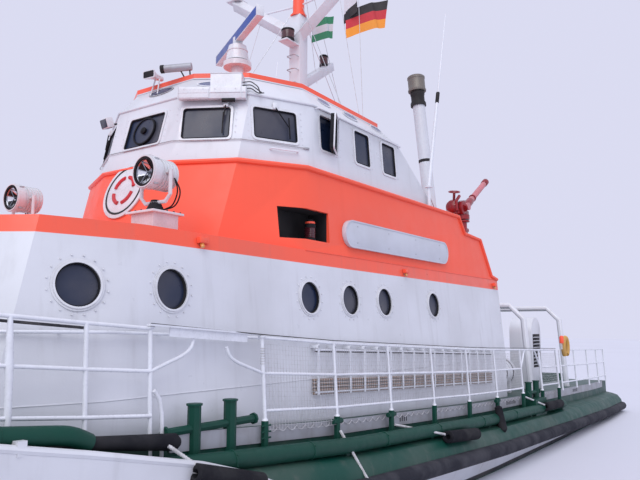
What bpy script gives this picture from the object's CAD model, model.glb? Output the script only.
"""Looks of a sea rescue cruiser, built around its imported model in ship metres.

+X points to the bow, +Y to port and +Z up, with the origin on the waterline amidships. Each
sub-assembly is a class that holds its sizes and builds and dresses its own pieces.
"""

import functools
import logging
import math
import random
from dataclasses import dataclass
from enum import Enum

import bpy
from mathutils import Matrix, Vector


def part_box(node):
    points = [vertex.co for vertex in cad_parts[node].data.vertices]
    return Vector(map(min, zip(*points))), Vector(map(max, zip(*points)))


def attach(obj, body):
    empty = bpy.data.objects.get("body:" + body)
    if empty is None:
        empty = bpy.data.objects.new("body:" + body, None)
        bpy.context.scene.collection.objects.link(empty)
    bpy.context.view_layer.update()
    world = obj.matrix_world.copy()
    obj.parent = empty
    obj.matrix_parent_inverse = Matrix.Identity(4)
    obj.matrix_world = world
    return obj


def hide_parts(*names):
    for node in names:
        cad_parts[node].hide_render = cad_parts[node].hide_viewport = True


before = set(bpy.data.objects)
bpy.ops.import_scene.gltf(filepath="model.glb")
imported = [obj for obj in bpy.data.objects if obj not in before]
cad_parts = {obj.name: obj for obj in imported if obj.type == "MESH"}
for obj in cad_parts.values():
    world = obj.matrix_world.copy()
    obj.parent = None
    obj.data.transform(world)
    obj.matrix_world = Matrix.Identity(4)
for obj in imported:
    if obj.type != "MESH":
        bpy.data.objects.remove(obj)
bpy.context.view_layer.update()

SHIP = "ship"
Pair = tuple[float, float]
Triple = tuple[float, float, float]
Place = Vector | Triple
Outline = list[Pair]
Profile = tuple[Pair, ...]
Line = tuple[Triple, ...]
Span = tuple[Triple, Triple]
Colour = Triple
Socket = bpy.types.NodeSocket
log = logging.getLogger("rescue_cruiser")

UP = Vector((0, 0, 1))
AHEAD = Vector((1, 0, 0))
TO_PORT = Vector((0, 1, 0))


class Side(Enum):
    """A side of the ship, with the sign of its Y."""

    PORT = 1
    STARBOARD = -1

    @property
    def word(self) -> str:
        """The side's name as node names spell it."""
        return self.name.lower()

    def place(self, point: Place) -> Vector:
        """Returns a point that is given for port, on this side."""
        x, y, z = point
        return Vector((x, y * self.value, z))


class Graph:
    """The nodes of one material, with short ways to add and join them."""

    def __init__(self, name: str) -> None:
        """Starts an empty material.

        Args:
            name: The material's name.
        """
        self.material = bpy.data.materials.new(name)
        self.material.use_nodes = True
        self.tree = self.material.node_tree
        self.tree.nodes.clear()
        output = self.tree.nodes.new("ShaderNodeOutputMaterial")
        self.shader = self.tree.nodes.new("ShaderNodeBsdfPrincipled")
        self.tree.links.new(self.shader.outputs["BSDF"], output.inputs["Surface"])
        self.place = self.tree.nodes.new("ShaderNodeTexCoord").outputs["Object"]

    def node(self, kind: str, **inputs: object) -> bpy.types.Node:
        """Adds a node and fills its inputs.

        Args:
            kind: The node's type.
            **inputs: A socket or a value for each named input, with _ for a space.

        Returns:
            The new node.
        """
        made = self.tree.nodes.new(kind)
        for name, value in inputs.items():
            self.feed(made.inputs[name.replace("_", " ")], value)
        return made

    def feed(self, target: Socket, value: object) -> None:
        """Links a socket to an input, or sets the input's value.

        Args:
            target: The input.
            value: A socket or a plain value.
        """
        if isinstance(value, bpy.types.NodeSocket):
            self.tree.links.new(value, target)
        else:
            target.default_value = value

    def math(self, operation: str, a: object, b: object = 0.0) -> Socket:
        """Adds a sum on one or two numbers.

        Args:
            operation: The sum's name.
            a: The first number, or a socket.
            b: The second number, or a socket.

        Returns:
            The result.
        """
        made = self.tree.nodes.new("ShaderNodeMath")
        made.operation = operation
        self.feed(made.inputs[0], a)
        self.feed(made.inputs[1], b)
        return made.outputs[0]

    def axis(self, letter: str) -> Socket:
        """Returns one ship coordinate of the shaded point."""
        return self.node("ShaderNodeSeparateXYZ", Vector=self.place).outputs[letter]

    def stretched(self, x: float, y: float, z: float) -> Socket:
        """Returns the ship coordinates scaled along each axis."""
        return self.node("ShaderNodeMapping", Vector=self.place, Scale=(x, y, z)).outputs[0]

    def noise(self, place: Socket, scale: float, detail: float = 4.0) -> Socket:
        """Returns a soft random number between 0 and 1 for each place."""
        made = self.node("ShaderNodeTexNoise", Vector=place, Scale=scale, Detail=detail)
        return made.outputs["Fac"]

    def between(self, value: Socket, low: float, high: float) -> Socket:
        """Makes a smooth step.

        Args:
            value: What it reads.
            low: Where it is 0.
            high: Where it is 1.

        Returns:
            The step's height.
        """
        made = self.node("ShaderNodeMapRange", Value=value)
        made.interpolation_type = "SMOOTHSTEP"
        made.inputs["From Min"].default_value = low
        made.inputs["From Max"].default_value = high
        return made.outputs["Result"]

    def mix(self, share: object, a: object, b: object) -> Socket:
        """Mixes two colours.

        Args:
            share: How much of the second, as a socket or a number.
            a: The first colour.
            b: The second colour.

        Returns:
            The mixed colour.
        """
        made = self.tree.nodes.new("ShaderNodeMix")
        made.data_type = "RGBA"
        for index, value in ((0, share), (6, a), (7, b)):
            fixed = (*value, 1.0) if isinstance(value, tuple) else value
            self.feed(made.inputs[index], fixed)
        return made.outputs[2]

    def bump(self, height: Socket, depth: float, below: Socket | None = None) -> Socket:
        """Raises the surface by a height map.

        Args:
            height: The map.
            depth: Metres from its low to its high places.
            below: A normal to add to, or None.

        Returns:
            The raised normal.
        """
        made = self.node("ShaderNodeBump", Height=height, Distance=depth, Strength=1.0)
        if below is not None:
            self.feed(made.inputs["Normal"], below)
        return made.outputs["Normal"]

    def curve(self, value: Socket, points: list[Pair]) -> Socket:
        """Reads a number off a line of points.

        Args:
            value: Where to read, from 0 to 1.
            points: The line's points, from 0 to 1 each way.

        Returns:
            The line's height there.
        """
        made = self.node("ShaderNodeFloatCurve", Value=value)
        line = made.mapping.curves[0]
        while len(line.points) < len(points):
            line.points.new(*points[0])
        for point, place in zip(line.points, points):
            point.location = place
            point.handle_type = "VECTOR"
        made.mapping.update()
        return made.outputs[0]


@dataclass(frozen=True)
class Finish:
    """A surface's colour and gloss, and the marks that weather and use leave on it."""

    name: str
    colour: Colour
    roughness: float = 0.42
    metallic: float = 0.0
    coat: float = 0.0
    shine: float = 0.5
    mottle: float = 0.08
    patch: float = 0.8
    streaks: float = 0.0
    crevice: float = 0.0
    grime: Colour = (0.2, 0.18, 0.16)
    grain: float = 90.0
    grain_height: float = 0.0006
    dents: float = 0.0

    def colour_at(self, graph: Graph) -> object:
        """Returns the clean colour, the same all over unless a kind of finish says otherwise."""
        return self.colour

    def material(self) -> bpy.types.Material:
        """Returns this finish's material, made once."""
        return material_of(self)


# Where the marks of weather start and end on their noise, and how they lie
PATCH_EDGES = (0.35, 0.7)
STREAK_EDGES = (0.52, 0.8)
STREAK_SCALES = (7.0, 7.0, 0.5)
CREVICE_EDGES = (0.75, 0.25)
CREVICE_REACH = 0.12
GLOSS_SPREAD = 0.3
LEAST_ROUGHNESS = 0.04
COAT_ROUGHNESS = 0.12
DENT_SCALE = 1.3


@functools.cache
def material_of(finish: Finish) -> bpy.types.Material:
    """Builds the nodes of a finish.

    Args:
        finish: The finish to build.

    Returns:
        The material, the same one each time that a finish is asked for.
    """
    graph = Graph(finish.name)
    clean = finish.colour_at(graph)
    patches = graph.between(graph.noise(graph.place, finish.patch, 6.0), *PATCH_EDGES)
    faded = graph.mix(graph.math("MULTIPLY", patches, finish.mottle * 3.0), clean, finish.grime)
    if finish.streaks:
        runs = graph.noise(graph.stretched(*STREAK_SCALES), 1.0, 5.0)
        marks = graph.math("MULTIPLY", graph.between(runs, *STREAK_EDGES), finish.streaks)
        faded = graph.mix(marks, faded, finish.grime)
    if finish.crevice:
        shade = graph.node("ShaderNodeAmbientOcclusion", Distance=CREVICE_REACH)
        shade.samples = 4
        corner = graph.between(shade.outputs["AO"], *CREVICE_EDGES)
        faded = graph.mix(graph.math("MULTIPLY", corner, finish.crevice), faded, finish.grime)
    graph.feed(graph.shader.inputs["Base Color"], faded)
    worn = graph.noise(graph.place, finish.patch * 6.0, 3.0)
    spread = graph.math("MULTIPLY_ADD", worn, GLOSS_SPREAD)
    spread.node.inputs[2].default_value = finish.roughness - GLOSS_SPREAD / 2
    graph.feed(graph.shader.inputs["Roughness"], graph.math("MAXIMUM", spread, LEAST_ROUGHNESS))
    graph.shader.inputs["Metallic"].default_value = finish.metallic
    graph.shader.inputs["Coat Weight"].default_value = finish.coat
    graph.shader.inputs["Specular IOR Level"].default_value = finish.shine
    graph.shader.inputs["Coat Roughness"].default_value = COAT_ROUGHNESS
    relief = graph.bump(graph.noise(graph.place, finish.grain, 3.0), finish.grain_height)
    if finish.dents:
        relief = graph.bump(graph.noise(graph.place, DENT_SCALE, 2.0), finish.dents, relief)
    graph.feed(graph.shader.inputs["Normal"], relief)
    return graph.material


@dataclass(frozen=True)
class BandedPaint(Finish):
    """Paint with another colour above a level line that may rise towards the bow."""

    above: Colour = (1.0, 1.0, 1.0)
    level: float = 0.0
    rise: float = 0.0
    blur: float = 0.002

    def colour_at(self, graph: Graph) -> Socket:
        """Takes the lower colour under the line and the upper one over it.

        Args:
            graph: The material's graph.

        Returns:
            The colour.
        """
        line = graph.math("MULTIPLY_ADD", graph.axis("X"), self.rise)
        line.node.inputs[2].default_value = self.level
        over = graph.math("SUBTRACT", graph.axis("Z"), line)
        return graph.mix(graph.between(over, -self.blur, self.blur), self.colour, self.above)


@dataclass(frozen=True)
class Deck:
    """The deck line of the hull and what lies along it."""

    # Columns: x, deck height, largest half-breadth, walking deck's edge inside it, strake height
    stations: tuple[tuple[float, float, float, float, float], ...] = (
        (-13.75, 0.96, 2.95, 0.5, 0.18),
        (-11.2, 1.01, 3.06, 0.5, 0.22),
        (-7.0, 1.12, 3.12, 0.5, 0.33),
        (-2.0, 1.26, 3.13, 0.5, 0.47),
        (3.0, 1.48, 3.1, 0.5, 0.69),
        (6.5, 1.71, 2.96, 0.4, 0.92),
        (9.5, 1.96, 2.48, 0.09, 1.17),
        (11.3, 2.17, 1.88, 0.06, 1.38),
        (12.4, 2.31, 1.36, 0.05, 1.52),
        (13.3, 2.44, 0.7, 0.04, 1.7),
        (13.75, 2.51, 0.13, 0.03, 2.24),
    )
    rail_in: float = 0.41
    rail_lean: float = 0.06
    rail_height: float = 1.05
    side_posts: tuple[float, ...] = (4.47, 3.03, 1.56, 0.08, -1.41, -2.85, -4.48, -5.9, -7.33)

    def read(self, x: float, column: int) -> float:
        """Reads the table at any place along the ship.

        Args:
            x: The place.
            column: The column to read.

        Returns:
            The value there, between those of the stations beside it.
        """
        rows = self.stations
        after = next((i for i, row in enumerate(rows) if row[0] >= x), len(rows) - 1)
        fore = max(1, after)
        a, b = rows[fore - 1], rows[fore]
        return a[column] + (b[column] - a[column]) * (x - a[0]) / (b[0] - a[0])

    def height(self, x: float) -> float:
        """Returns the deck's height."""
        return self.read(x, 1)

    def half(self, x: float) -> float:
        """Returns the largest half-breadth."""
        return self.read(x, 2)

    def edge(self, x: float) -> float:
        """Returns the half-breadth of the walking deck's edge."""
        return self.read(x, 2) - self.read(x, 3)

    def rail(self, x: float, share: float) -> Vector:
        """Returns a point on the rail, by its share of the height."""
        y = self.half(x) - self.rail_in - self.rail_lean * share
        return Vector((x, y, self.height(x) + self.rail_height * share))


DECK = Deck()


@dataclass(frozen=True)
class HullPaint(Finish):
    """Hull paint: antifouling, boot-top, topsides, and green from the strake up."""

    bottom: Colour = (0.01, 0.075, 0.05)
    boot: Colour = (0.02, 0.02, 0.024)
    deck: Colour = (0.004, 0.06, 0.042)
    walkway: Colour = (0.03, 0.08, 0.066)
    boot_low: float = 0.02
    boot_high: float = 0.11
    blur: float = 0.003
    strake_blur: float = 0.02
    tallest: float = 4.0
    level_edges: Pair = (0.96, 0.99)

    def colour_at(self, graph: Graph) -> Socket:
        """Chooses the paint by height over the waterline, the strake and the deck.

        Args:
            graph: The material's graph.

        Returns:
            The colour.
        """
        first, last = DECK.stations[0][0], DECK.stations[-1][0]
        length = last - first
        share = graph.math("DIVIDE", graph.math("SUBTRACT", graph.axis("X"), first), length)
        points = [((row[0] - first) / length, row[4] / self.tallest) for row in DECK.stations]
        strake = graph.math("MULTIPLY", graph.curve(share, points), self.tallest)
        height = graph.axis("Z")
        over = graph.math("SUBTRACT", height, strake)
        side = graph.mix(graph.between(over, 0.0, self.strake_blur), self.colour, self.deck)
        above_low = graph.between(height, self.boot_low, self.boot_low + self.blur)
        above_high = graph.between(height, self.boot_high, self.boot_high + self.blur)
        wet = graph.mix(above_high, graph.mix(above_low, self.bottom, self.boot), side)
        normal = graph.tree.nodes.new("ShaderNodeNewGeometry").outputs["True Normal"]
        up = graph.node("ShaderNodeSeparateXYZ", Vector=normal).outputs["Z"]
        return graph.mix(graph.between(up, *self.level_edges), wet, self.walkway)


def bunting(name: str, colour: Colour) -> Finish:
    """Returns the finish of a dyed flag cloth."""
    return Finish(f"{name} bunting", colour, 0.85, grain=900.0, grain_height=0.0008)


WHITE = (0.71, 0.725, 0.765)
ORANGE = (1.0, 0.115, 0.055)
WHITE_PAINT = Finish(
    "white paint", WHITE, 0.34, coat=0.1, mottle=0.05, streaks=0.14, crevice=0.35, dents=0.012
)
HOUSE_PAINT = BandedPaint(
    "lower house paint", WHITE, 0.34, coat=0.1, mottle=0.05, streaks=0.14, crevice=0.3, dents=0.012,
    above=ORANGE, level=3.62, rise=0.005,
)
ROOF_PAINT = BandedPaint(
    "roof paint", WHITE, 0.34, coat=0.1, mottle=0.05, streaks=0.1, crevice=0.3,
    above=ORANGE, level=6.478,
)
ORANGE_PAINT = Finish(
    "signal orange", ORANGE, 0.42, mottle=0.02, streaks=0.05, crevice=0.1,
    grime=(0.45, 0.06, 0.03), dents=0.01,
)
HULL_PAINT = HullPaint(
    "hull paint", (0.66, 0.675, 0.715), 0.45, shine=0.2, mottle=0.06, streaks=0.2, dents=0.01
)
RAIL_WHITE = Finish("rail white", (0.78, 0.8, 0.85), 0.3, coat=0.2, mottle=0.04, patch=5.0, crevice=0.25)
LAMP_WHITE = Finish("lamp white", (0.74, 0.75, 0.78), 0.28, coat=0.3, mottle=0.05, patch=5.0, crevice=0.3)
BOARD_WHITE = Finish("board white", (0.6, 0.62, 0.68), 0.4, mottle=0.04, patch=2.0, streaks=0.06)
GREEN_ENAMEL = Finish(
    "green enamel", (0.003, 0.055, 0.036), 0.5, shine=0.25, mottle=0.06, patch=2.0, crevice=0.15,
    grime=(0.03, 0.05, 0.04),
)
RED_ENAMEL = Finish(
    "red enamel", (0.3, 0.008, 0.014), 0.32, coat=0.3, mottle=0.1, patch=5.0, crevice=0.5,
    grime=(0.05, 0.01, 0.01),
)
FADED_RED = Finish("sun faded red", (0.62, 0.2, 0.22), 0.5, mottle=0.1, patch=5.0, crevice=0.3)
RUBBER = Finish(
    "black rubber", (0.012, 0.012, 0.016), 0.85, shine=0.15, mottle=0.12, patch=3.0,
    grime=(0.06, 0.06, 0.06), grain_height=0.001,
)
STRAKE_RUBBER = Finish(
    "strake rubber", (0.025, 0.026, 0.034), 0.85, shine=0.15, mottle=0.2, patch=2.0,
    grime=(0.08, 0.08, 0.09), grain_height=0.001,
)
BLACK = Finish("black paint", (0.008, 0.008, 0.011), 0.6, shine=0.2, mottle=0.06)
MATT_BLACK = Finish("matt black", (0.006, 0.006, 0.008), 0.9, mottle=0.05)
GLASS = Finish(
    "window glass", (0.012, 0.022, 0.055), 0.32, shine=0.4, mottle=0.12, patch=0.9, grain_height=0.0
)
SKY_GLASS = Finish("skylight glass", (0.16, 0.18, 0.3), 0.3, coat=0.2, mottle=0.06, grain_height=0.0)
BRIGHT_MIRROR = Finish(
    "bright reflector", (0.8, 0.82, 0.86), 0.2, metallic=0.8, mottle=0.0, grain_height=0.0
)
MIRROR = Finish("reflector", (0.3, 0.31, 0.34), 0.24, metallic=1.0, mottle=0.0, grain_height=0.0)
MAROON = Finish("maroon lens", (0.06, 0.006, 0.012), 0.25, coat=0.4)
GREEN_LENS = Finish("green lens", (0.01, 0.2, 0.08), 0.2, coat=0.6)
AMBER_LENS = Finish("amber lens", (0.8, 0.3, 0.04), 0.2, coat=0.6)
BLUE_FACE = Finish("blue face", (0.02, 0.07, 0.35), 0.35, mottle=0.04)
STEEL = Finish(
    "stainless steel", (0.55, 0.56, 0.58), 0.36, metallic=0.9, mottle=0.06, patch=3.0, grain=300.0
)
ALUMINIUM = Finish(
    "bare aluminium", (0.4, 0.41, 0.44), 0.5, metallic=0.3, mottle=0.12, patch=3.0, streaks=0.3
)
SCORCHED_STEEL = Finish(
    "scorched steel", (0.2, 0.18, 0.155), 0.5, metallic=0.4, mottle=0.2, patch=6.0, streaks=0.3
)
BRONZE = Finish("bronze", (0.42, 0.25, 0.09), 0.4, metallic=0.9, mottle=0.12, patch=4.0)
WOOD = Finish(
    "weathered slats", (0.34, 0.24, 0.19), 0.75, mottle=0.2, patch=9.0,
    grime=(0.3, 0.27, 0.24), grain_height=0.0015,
)
ROPE = Finish(
    "white cordage", (0.62, 0.62, 0.64), 0.85, mottle=0.12, patch=12.0, grain=700.0, grain_height=0.0012
)
DARK_ROPE = Finish(
    "dark cordage", (0.03, 0.03, 0.036), 0.85, mottle=0.12, patch=12.0, grain=700.0, grain_height=0.0012
)
YELLOW = Finish("buoy yellow", (0.66, 0.36, 0.06), 0.6, mottle=0.1, patch=4.0, crevice=0.3)
CLOTH_BLACK = bunting("black", (0.02, 0.02, 0.024))
CLOTH_RED = bunting("red", (0.62, 0.03, 0.045))
CLOTH_GOLD = bunting("gold", (0.95, 0.34, 0.03))
CLOTH_WHITE = bunting("white", (0.7, 0.7, 0.74))
CLOTH_GREEN = bunting("green", (0.02, 0.25, 0.12))


def rounded(points: list[Place], radius: float, steps: int = 5) -> list[Vector]:
    """Turns the corners of a path into short arcs.

    Args:
        points: The path's corners.
        radius: How far from a corner its arc starts.
        steps: How many spans an arc has.

    Returns:
        The points of the smoother path.
    """
    corners = [Vector(point) for point in points]
    path = [corners[0]]
    for before, corner, after in zip(corners, corners[1:], corners[2:]):
        back = (before - corner).normalized() * min(radius, (before - corner).length * 0.45)
        ahead = (after - corner).normalized() * min(radius, (after - corner).length * 0.45)
        for step in range(steps + 1):
            t = step / steps
            path.append(corner + back * (1 - t) ** 2 + ahead * t**2)
    return path + [corners[-1]]


def sagging(start: Place, end: Place, drop: float, steps: int = 12) -> list[Vector]:
    """Returns a line that hangs a little between two points."""
    shares = [step / steps for step in range(steps + 1)]
    return [Vector(start).lerp(Vector(end), t) - UP * 4 * drop * t * (1 - t) for t in shares]


def soft_box(width: float, height: float, radius: float, steps: int = 5) -> Outline:
    """Draws a rectangle with round corners about its middle.

    Args:
        width: Its width.
        height: Its height.
        radius: The radius of its corners.
        steps: How many spans a corner has.

    Returns:
        Its outline, anticlockwise.
    """
    outline = []
    for corner in range(4):
        middle_u = (width / 2 - radius) * (1 if corner in (0, 3) else -1)
        middle_v = (height / 2 - radius) * (1 if corner in (0, 1) else -1)
        for step in range(steps + 1):
            angle = (corner + step / steps) * math.pi / 2
            outline.append((middle_u + radius * math.cos(angle), middle_v + radius * math.sin(angle)))
    return outline


def circle(radius: float, count: int = 40, stretch: float = 1.0) -> Outline:
    """Returns a circle's outline, or an oval's where it is stretched upwards."""
    angles = [2 * math.pi * step / count for step in range(count)]
    return [(radius * math.cos(a), radius * stretch * math.sin(a)) for a in angles]


def around(count: int, radius: float, height: float = 0.0, start: float = 0.0) -> list[Vector]:
    """Returns places spread evenly round Z, the first one at a start angle."""
    turns = [start + 2 * math.pi * k / count for k in range(count)]
    return [Vector((radius * math.cos(t), radius * math.sin(t), height)) for t in turns]


def ring_of(axes: Matrix, outline: Outline, height: float) -> list[Vector]:
    """Returns an outline's points in its axes, at one height."""
    return [axes @ Vector((u, v, height)) for u, v in outline]


def frame_of(origin: Place, normal: Place, along: Place | None = None) -> Matrix:
    """Returns axes at a place, with Z along the normal and X as near along as it goes.

    Args:
        origin: The place.
        normal: The direction that Z takes.
        along: The direction that X leans to, or None for any.

    Returns:
        The 4 by 4 matrix of those axes.
    """
    z = Vector(normal).normalized()
    guess = Vector(along) if along else (UP if abs(z.z) < 0.9 else AHEAD)
    x = (guess - z * guess.dot(z)).normalized()
    turn = Matrix((x, z.cross(x), z)).transposed().to_4x4()
    return Matrix.Translation(Vector(origin)) @ turn


def upright(foot: Place) -> Matrix:
    """Returns axes at a place, with Z upwards."""
    return frame_of(foot, UP)


class Piece:
    """One piece of the ship, gathered face by face in ship metres."""

    def __init__(self, name: str, finish: Finish) -> None:
        """Starts an empty piece.

        Args:
            name: The piece's name.
            finish: The finish of what is added first.
        """
        self.name = name
        self.points: list[Vector] = []
        self.faces: list[list[int]] = []
        self.finish_of_face: list[int] = []
        self.finishes = [finish]
        self.current = 0

    def use(self, finish: Finish) -> None:
        """Sets the finish of what is added next.

        Args:
            finish: The finish.
        """
        if finish not in self.finishes:
            self.finishes.append(finish)
        self.current = self.finishes.index(finish)

    def add(self, points: list[Vector], faces: list[list[int]]) -> None:
        """Adds points and the faces between them.

        Args:
            points: The points.
            faces: The corners of each face, as numbers of those points from 0.
        """
        start = len(self.points)
        self.points.extend(points)
        self.faces.extend([[start + i for i in face] for face in faces])
        self.finish_of_face.extend([self.current] * len(faces))

    def loft(self, rings: list[list[Vector]], closed: bool = False) -> None:
        """Joins rings of points, each a closed loop.

        Args:
            rings: The loops, all with the same number of points.
            closed: Whether the last ring joins the first, or both ends get a lid.
        """
        count = len(rings[0])
        total = len(rings)
        faces = []
        for k in range(total if closed else total - 1):
            a = k * count
            b = ((k + 1) % total) * count
            for i in range(count):
                j = (i + 1) % count
                faces.append([a + i, a + j, b + j, b + i])
        if not closed:
            faces.append(list(range(count))[::-1])
            faces.append([(total - 1) * count + i for i in range(count)])
        self.add([point for ring in rings for point in ring], faces)

    def tube(self, path: list[Place], radius: float, sides: int = 10, closed: bool = False) -> None:
        """Adds a round tube along a path.

        Args:
            path: The points of its middle line.
            radius: The tube's radius.
            sides: How many sides its section has.
            closed: Whether the path ends where it starts.
        """
        points = [Vector(point) for point in path]
        last = len(points) - 1
        across = None
        rings = []
        for i, point in enumerate(points):
            after = points[(i + 1) % len(points)] if closed else points[min(i + 1, last)]
            before = points[i - 1] if closed or i else points[0]
            ahead = (after - before).normalized()
            if across is None:
                across = ahead.orthogonal()
            across = (across - ahead * across.dot(ahead)).normalized()
            other = ahead.cross(across)
            rings.append([point + across * u + other * v for u, v in circle(radius, sides)])
        self.loft(rings, closed)

    def rod(
        self, start: Place, end: Place, radius: float, tip: float | None = None, sides: int = 16
    ) -> None:
        """Adds a round bar with slightly eased ends.

        Args:
            start: One end.
            end: The other end.
            radius: The radius at the start.
            tip: The radius at the end, or None for the same.
            sides: How many sides its section has.
        """
        foot, way = Vector(start), Vector(end) - Vector(start)
        length = way.length
        last = radius if tip is None else tip
        ease = min(0.004, length * 0.1, radius * 0.2)
        inner = last - ease * last / radius
        profile = ((radius - ease, 0.0), (radius, ease), (last, length - ease), (inner, length))
        self.turned(frame_of(foot, way), profile, sides)

    def turned(self, axes: Matrix, profile: Profile, sides: int = 32) -> None:
        """Adds a turned form.

        Args:
            axes: Its axes, turned about Z.
            profile: Points of its outline as radius and height.
            sides: How many sides it has round.
        """
        least = 0.0004
        rings = [(circle(max(radius, least), sides), height) for radius, height in profile]
        self.loft([ring_of(axes, outline, height) for outline, height in rings])

    def plate(self, axes: Matrix, outline: Outline, low: float, high: float) -> None:
        """Adds a flat plate with the outline, between two heights over the axes' plane."""
        self.loft([ring_of(axes, outline, low), ring_of(axes, outline, high)])

    def hoop(self, axes: Matrix, outer: Outline, inner: Outline, low: float, high: float) -> None:
        """Adds a flat ring between two outlines with the same number of points."""
        section = ((outer, low), (outer, high), (inner, high), (inner, low))
        self.loft([ring_of(axes, outline, height) for outline, height in section], closed=True)

    def collar(
        self, axes: Matrix, outer: float, inner: float, low: float, high: float, sides: int = 40
    ) -> None:
        """Adds a flat round ring between two radii and two heights."""
        self.hoop(axes, circle(outer, sides), circle(inner, sides), low, high)

    def box(self, low: Place, high: Place) -> None:
        """Adds an upright box between two corners."""
        a, b = Vector(low), Vector(high)
        self.block(Matrix.Translation((a + b) / 2), b - a)

    def block(self, axes: Matrix, size: Place, at: Place = (0.0, 0.0, 0.0)) -> None:
        """Adds a box with slightly eased edges.

        Args:
            axes: The axes it lies in.
            size: Its size along each axis.
            at: Where in those axes its middle is.
        """
        place = axes @ Matrix.Translation(at)
        ease = min(0.006, min(size) * 0.2)
        rings = []
        for inset, z in ((ease, -0.5), (0.0, -0.5), (0.0, 0.5), (ease, 0.5)):
            height = z * size[2] + (0.0 if inset else math.copysign(ease, -z))
            outline = soft_box(size[0] - 2 * inset, size[1] - 2 * inset, max(ease, 0.0005), 2)
            rings.append(ring_of(place, outline, height))
        self.loft(rings)

    def swing(self, move: Matrix, start: int) -> None:
        """Moves the points that were added since a count."""
        self.points[start:] = [move @ point for point in self.points[start:]]

    def mirrored(self) -> tuple[list[Vector], list[list[int]]]:
        """Returns the points and faces of the same on the other side of the ship."""
        points = [Side.STARBOARD.place(point) for point in self.points]
        return points, [list(reversed(face)) for face in self.faces]

    def mirror(self) -> None:
        """Adds the same to the other side of the ship."""
        points, faces = self.mirrored()
        finishes = list(self.finish_of_face)
        self.add(points, faces)
        self.finish_of_face[len(faces) :] = finishes

    def cross_over(self) -> None:
        """Moves the piece to the other side of the ship."""
        self.points, self.faces = self.mirrored()

    def done(
        self, slot: str, body: str = SHIP, replaces: tuple[str, ...] = (), angle: float = 38.0
    ) -> bpy.types.Object:
        """Makes the object, and says what it rides on and stands for.

        Args:
            slot: The record's material slot.
            body: The body that it rides on.
            replaces: The nodes that it stands for.
            angle: The angle in degrees over which an edge stays sharp.

        Returns:
            The new object.
        """
        mesh = bpy.data.meshes.new(self.name)
        mesh.from_pydata([tuple(p) for p in self.points], [], self.faces)
        for finish in self.finishes:
            mesh.materials.append(finish.material())
        mesh.polygons.foreach_set("material_index", self.finish_of_face)
        mesh.polygons.foreach_set("use_smooth", [True] * len(self.faces))
        mesh.set_sharp_from_angle(angle=math.radians(angle))
        mesh.validate()
        piece = bpy.data.objects.new(self.name, mesh)
        bpy.context.scene.collection.objects.link(piece)
        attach(piece, body)
        if replaces:
            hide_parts(*replaces)
        log.info("%s: %d faces", self.name, len(self.faces))
        return piece


WELD_REACH = 0.0001
FLAT_ANGLE = math.radians(0.6)
BEVEL_ANGLE = math.radians(24.0)
SMOOTH_ANGLE = math.radians(32.0)


@functools.cache
def soft_edges() -> bpy.types.NodeTree:
    """Makes the nodes that shade all but the sharp edges smooth.

    Returns:
        The geometry nodes, which every dressed node shares.
    """
    group = bpy.data.node_groups.new("soft edges", "GeometryNodeTree")
    group.interface.new_socket("Geometry", in_out="INPUT", socket_type="NodeSocketGeometry")
    group.interface.new_socket("Geometry", in_out="OUTPUT", socket_type="NodeSocketGeometry")
    start = group.nodes.new("NodeGroupInput")
    finish = group.nodes.new("NodeGroupOutput")
    faces = group.nodes.new("GeometryNodeSetShadeSmooth")
    edges = group.nodes.new("GeometryNodeSetShadeSmooth")
    edges.domain = "EDGE"
    edges.inputs["Shade Smooth"].default_value = False
    angle = group.nodes.new("GeometryNodeInputMeshEdgeAngle")
    sharp = group.nodes.new("FunctionNodeCompare")
    sharp.inputs[1].default_value = SMOOTH_ANGLE
    group.links.new(angle.outputs["Unsigned Angle"], sharp.inputs[0])
    group.links.new(sharp.outputs[0], edges.inputs["Selection"])
    group.links.new(start.outputs[0], faces.inputs[0])
    group.links.new(faces.outputs[0], edges.inputs[0])
    group.links.new(edges.outputs[0], finish.inputs[0])
    return group


def dress(node: str, finish: Finish, edge: float = 0.0) -> None:
    """Gives a carried-over node its finish and smooth shading.

    Args:
        node: The node's name.
        finish: Its finish.
        edge: The width of its eased edges in metres, or 0 for none.
    """
    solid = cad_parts[node]
    if not solid.material_slots:
        solid.data.materials.append(None)
    for place in solid.material_slots:
        place.material = finish.material()
    weld = solid.modifiers.new("weld", "WELD")
    weld.merge_threshold = WELD_REACH
    if edge:
        flat = solid.modifiers.new("flat faces", "DECIMATE")
        flat.decimate_type = "DISSOLVE"
        flat.angle_limit = FLAT_ANGLE
        eased = solid.modifiers.new("eased edges", "BEVEL")
        eased.width = edge
        eased.segments = 2
        eased.limit_method = "ANGLE"
        eased.angle_limit = BEVEL_ANGLE
    smooth = solid.modifiers.new("soft edges", "NODES")
    smooth.node_group = soft_edges()
    log.info("%s: node dressed in %s", node, finish.name)


@dataclass(frozen=True)
class Facet:
    """A flat panel of a house, from two corners of its foot to two of its top."""

    foot_a: Vector
    foot_b: Vector
    top_a: Vector
    top_b: Vector

    @property
    def along(self) -> Vector:
        """The direction along the foot."""
        return (self.foot_b - self.foot_a).normalized()

    @property
    def normal(self) -> Vector:
        """The direction out of the house."""
        return self.along.cross(self.top_a - self.foot_a).normalized()

    def at(self, share: float, z: float, out: float = 0.0) -> Vector:
        """Finds a point on the panel or in front of it.

        Args:
            share: Its share of the way along the panel.
            z: Its height.
            out: Its distance from the panel.

        Returns:
            The point.
        """
        up = (z - self.foot_a.z) / (self.top_a.z - self.foot_a.z)
        a = self.foot_a.lerp(self.top_a, up)
        b = self.foot_b.lerp(self.top_b, up)
        return a.lerp(b, share) + self.normal * out

    def share_at(self, x: float, z: float) -> float:
        """Returns the share along the panel of a place with that X."""
        a, b = self.at(0, z), self.at(1, z)
        return (x - a.x) / (b.x - a.x)

    def axes(self, share: float, z: float, out: float = 0.0) -> Matrix:
        """Returns axes on the panel, X along it and Z out of it."""
        return frame_of(self.at(share, z, out), self.normal, self.along)


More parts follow.
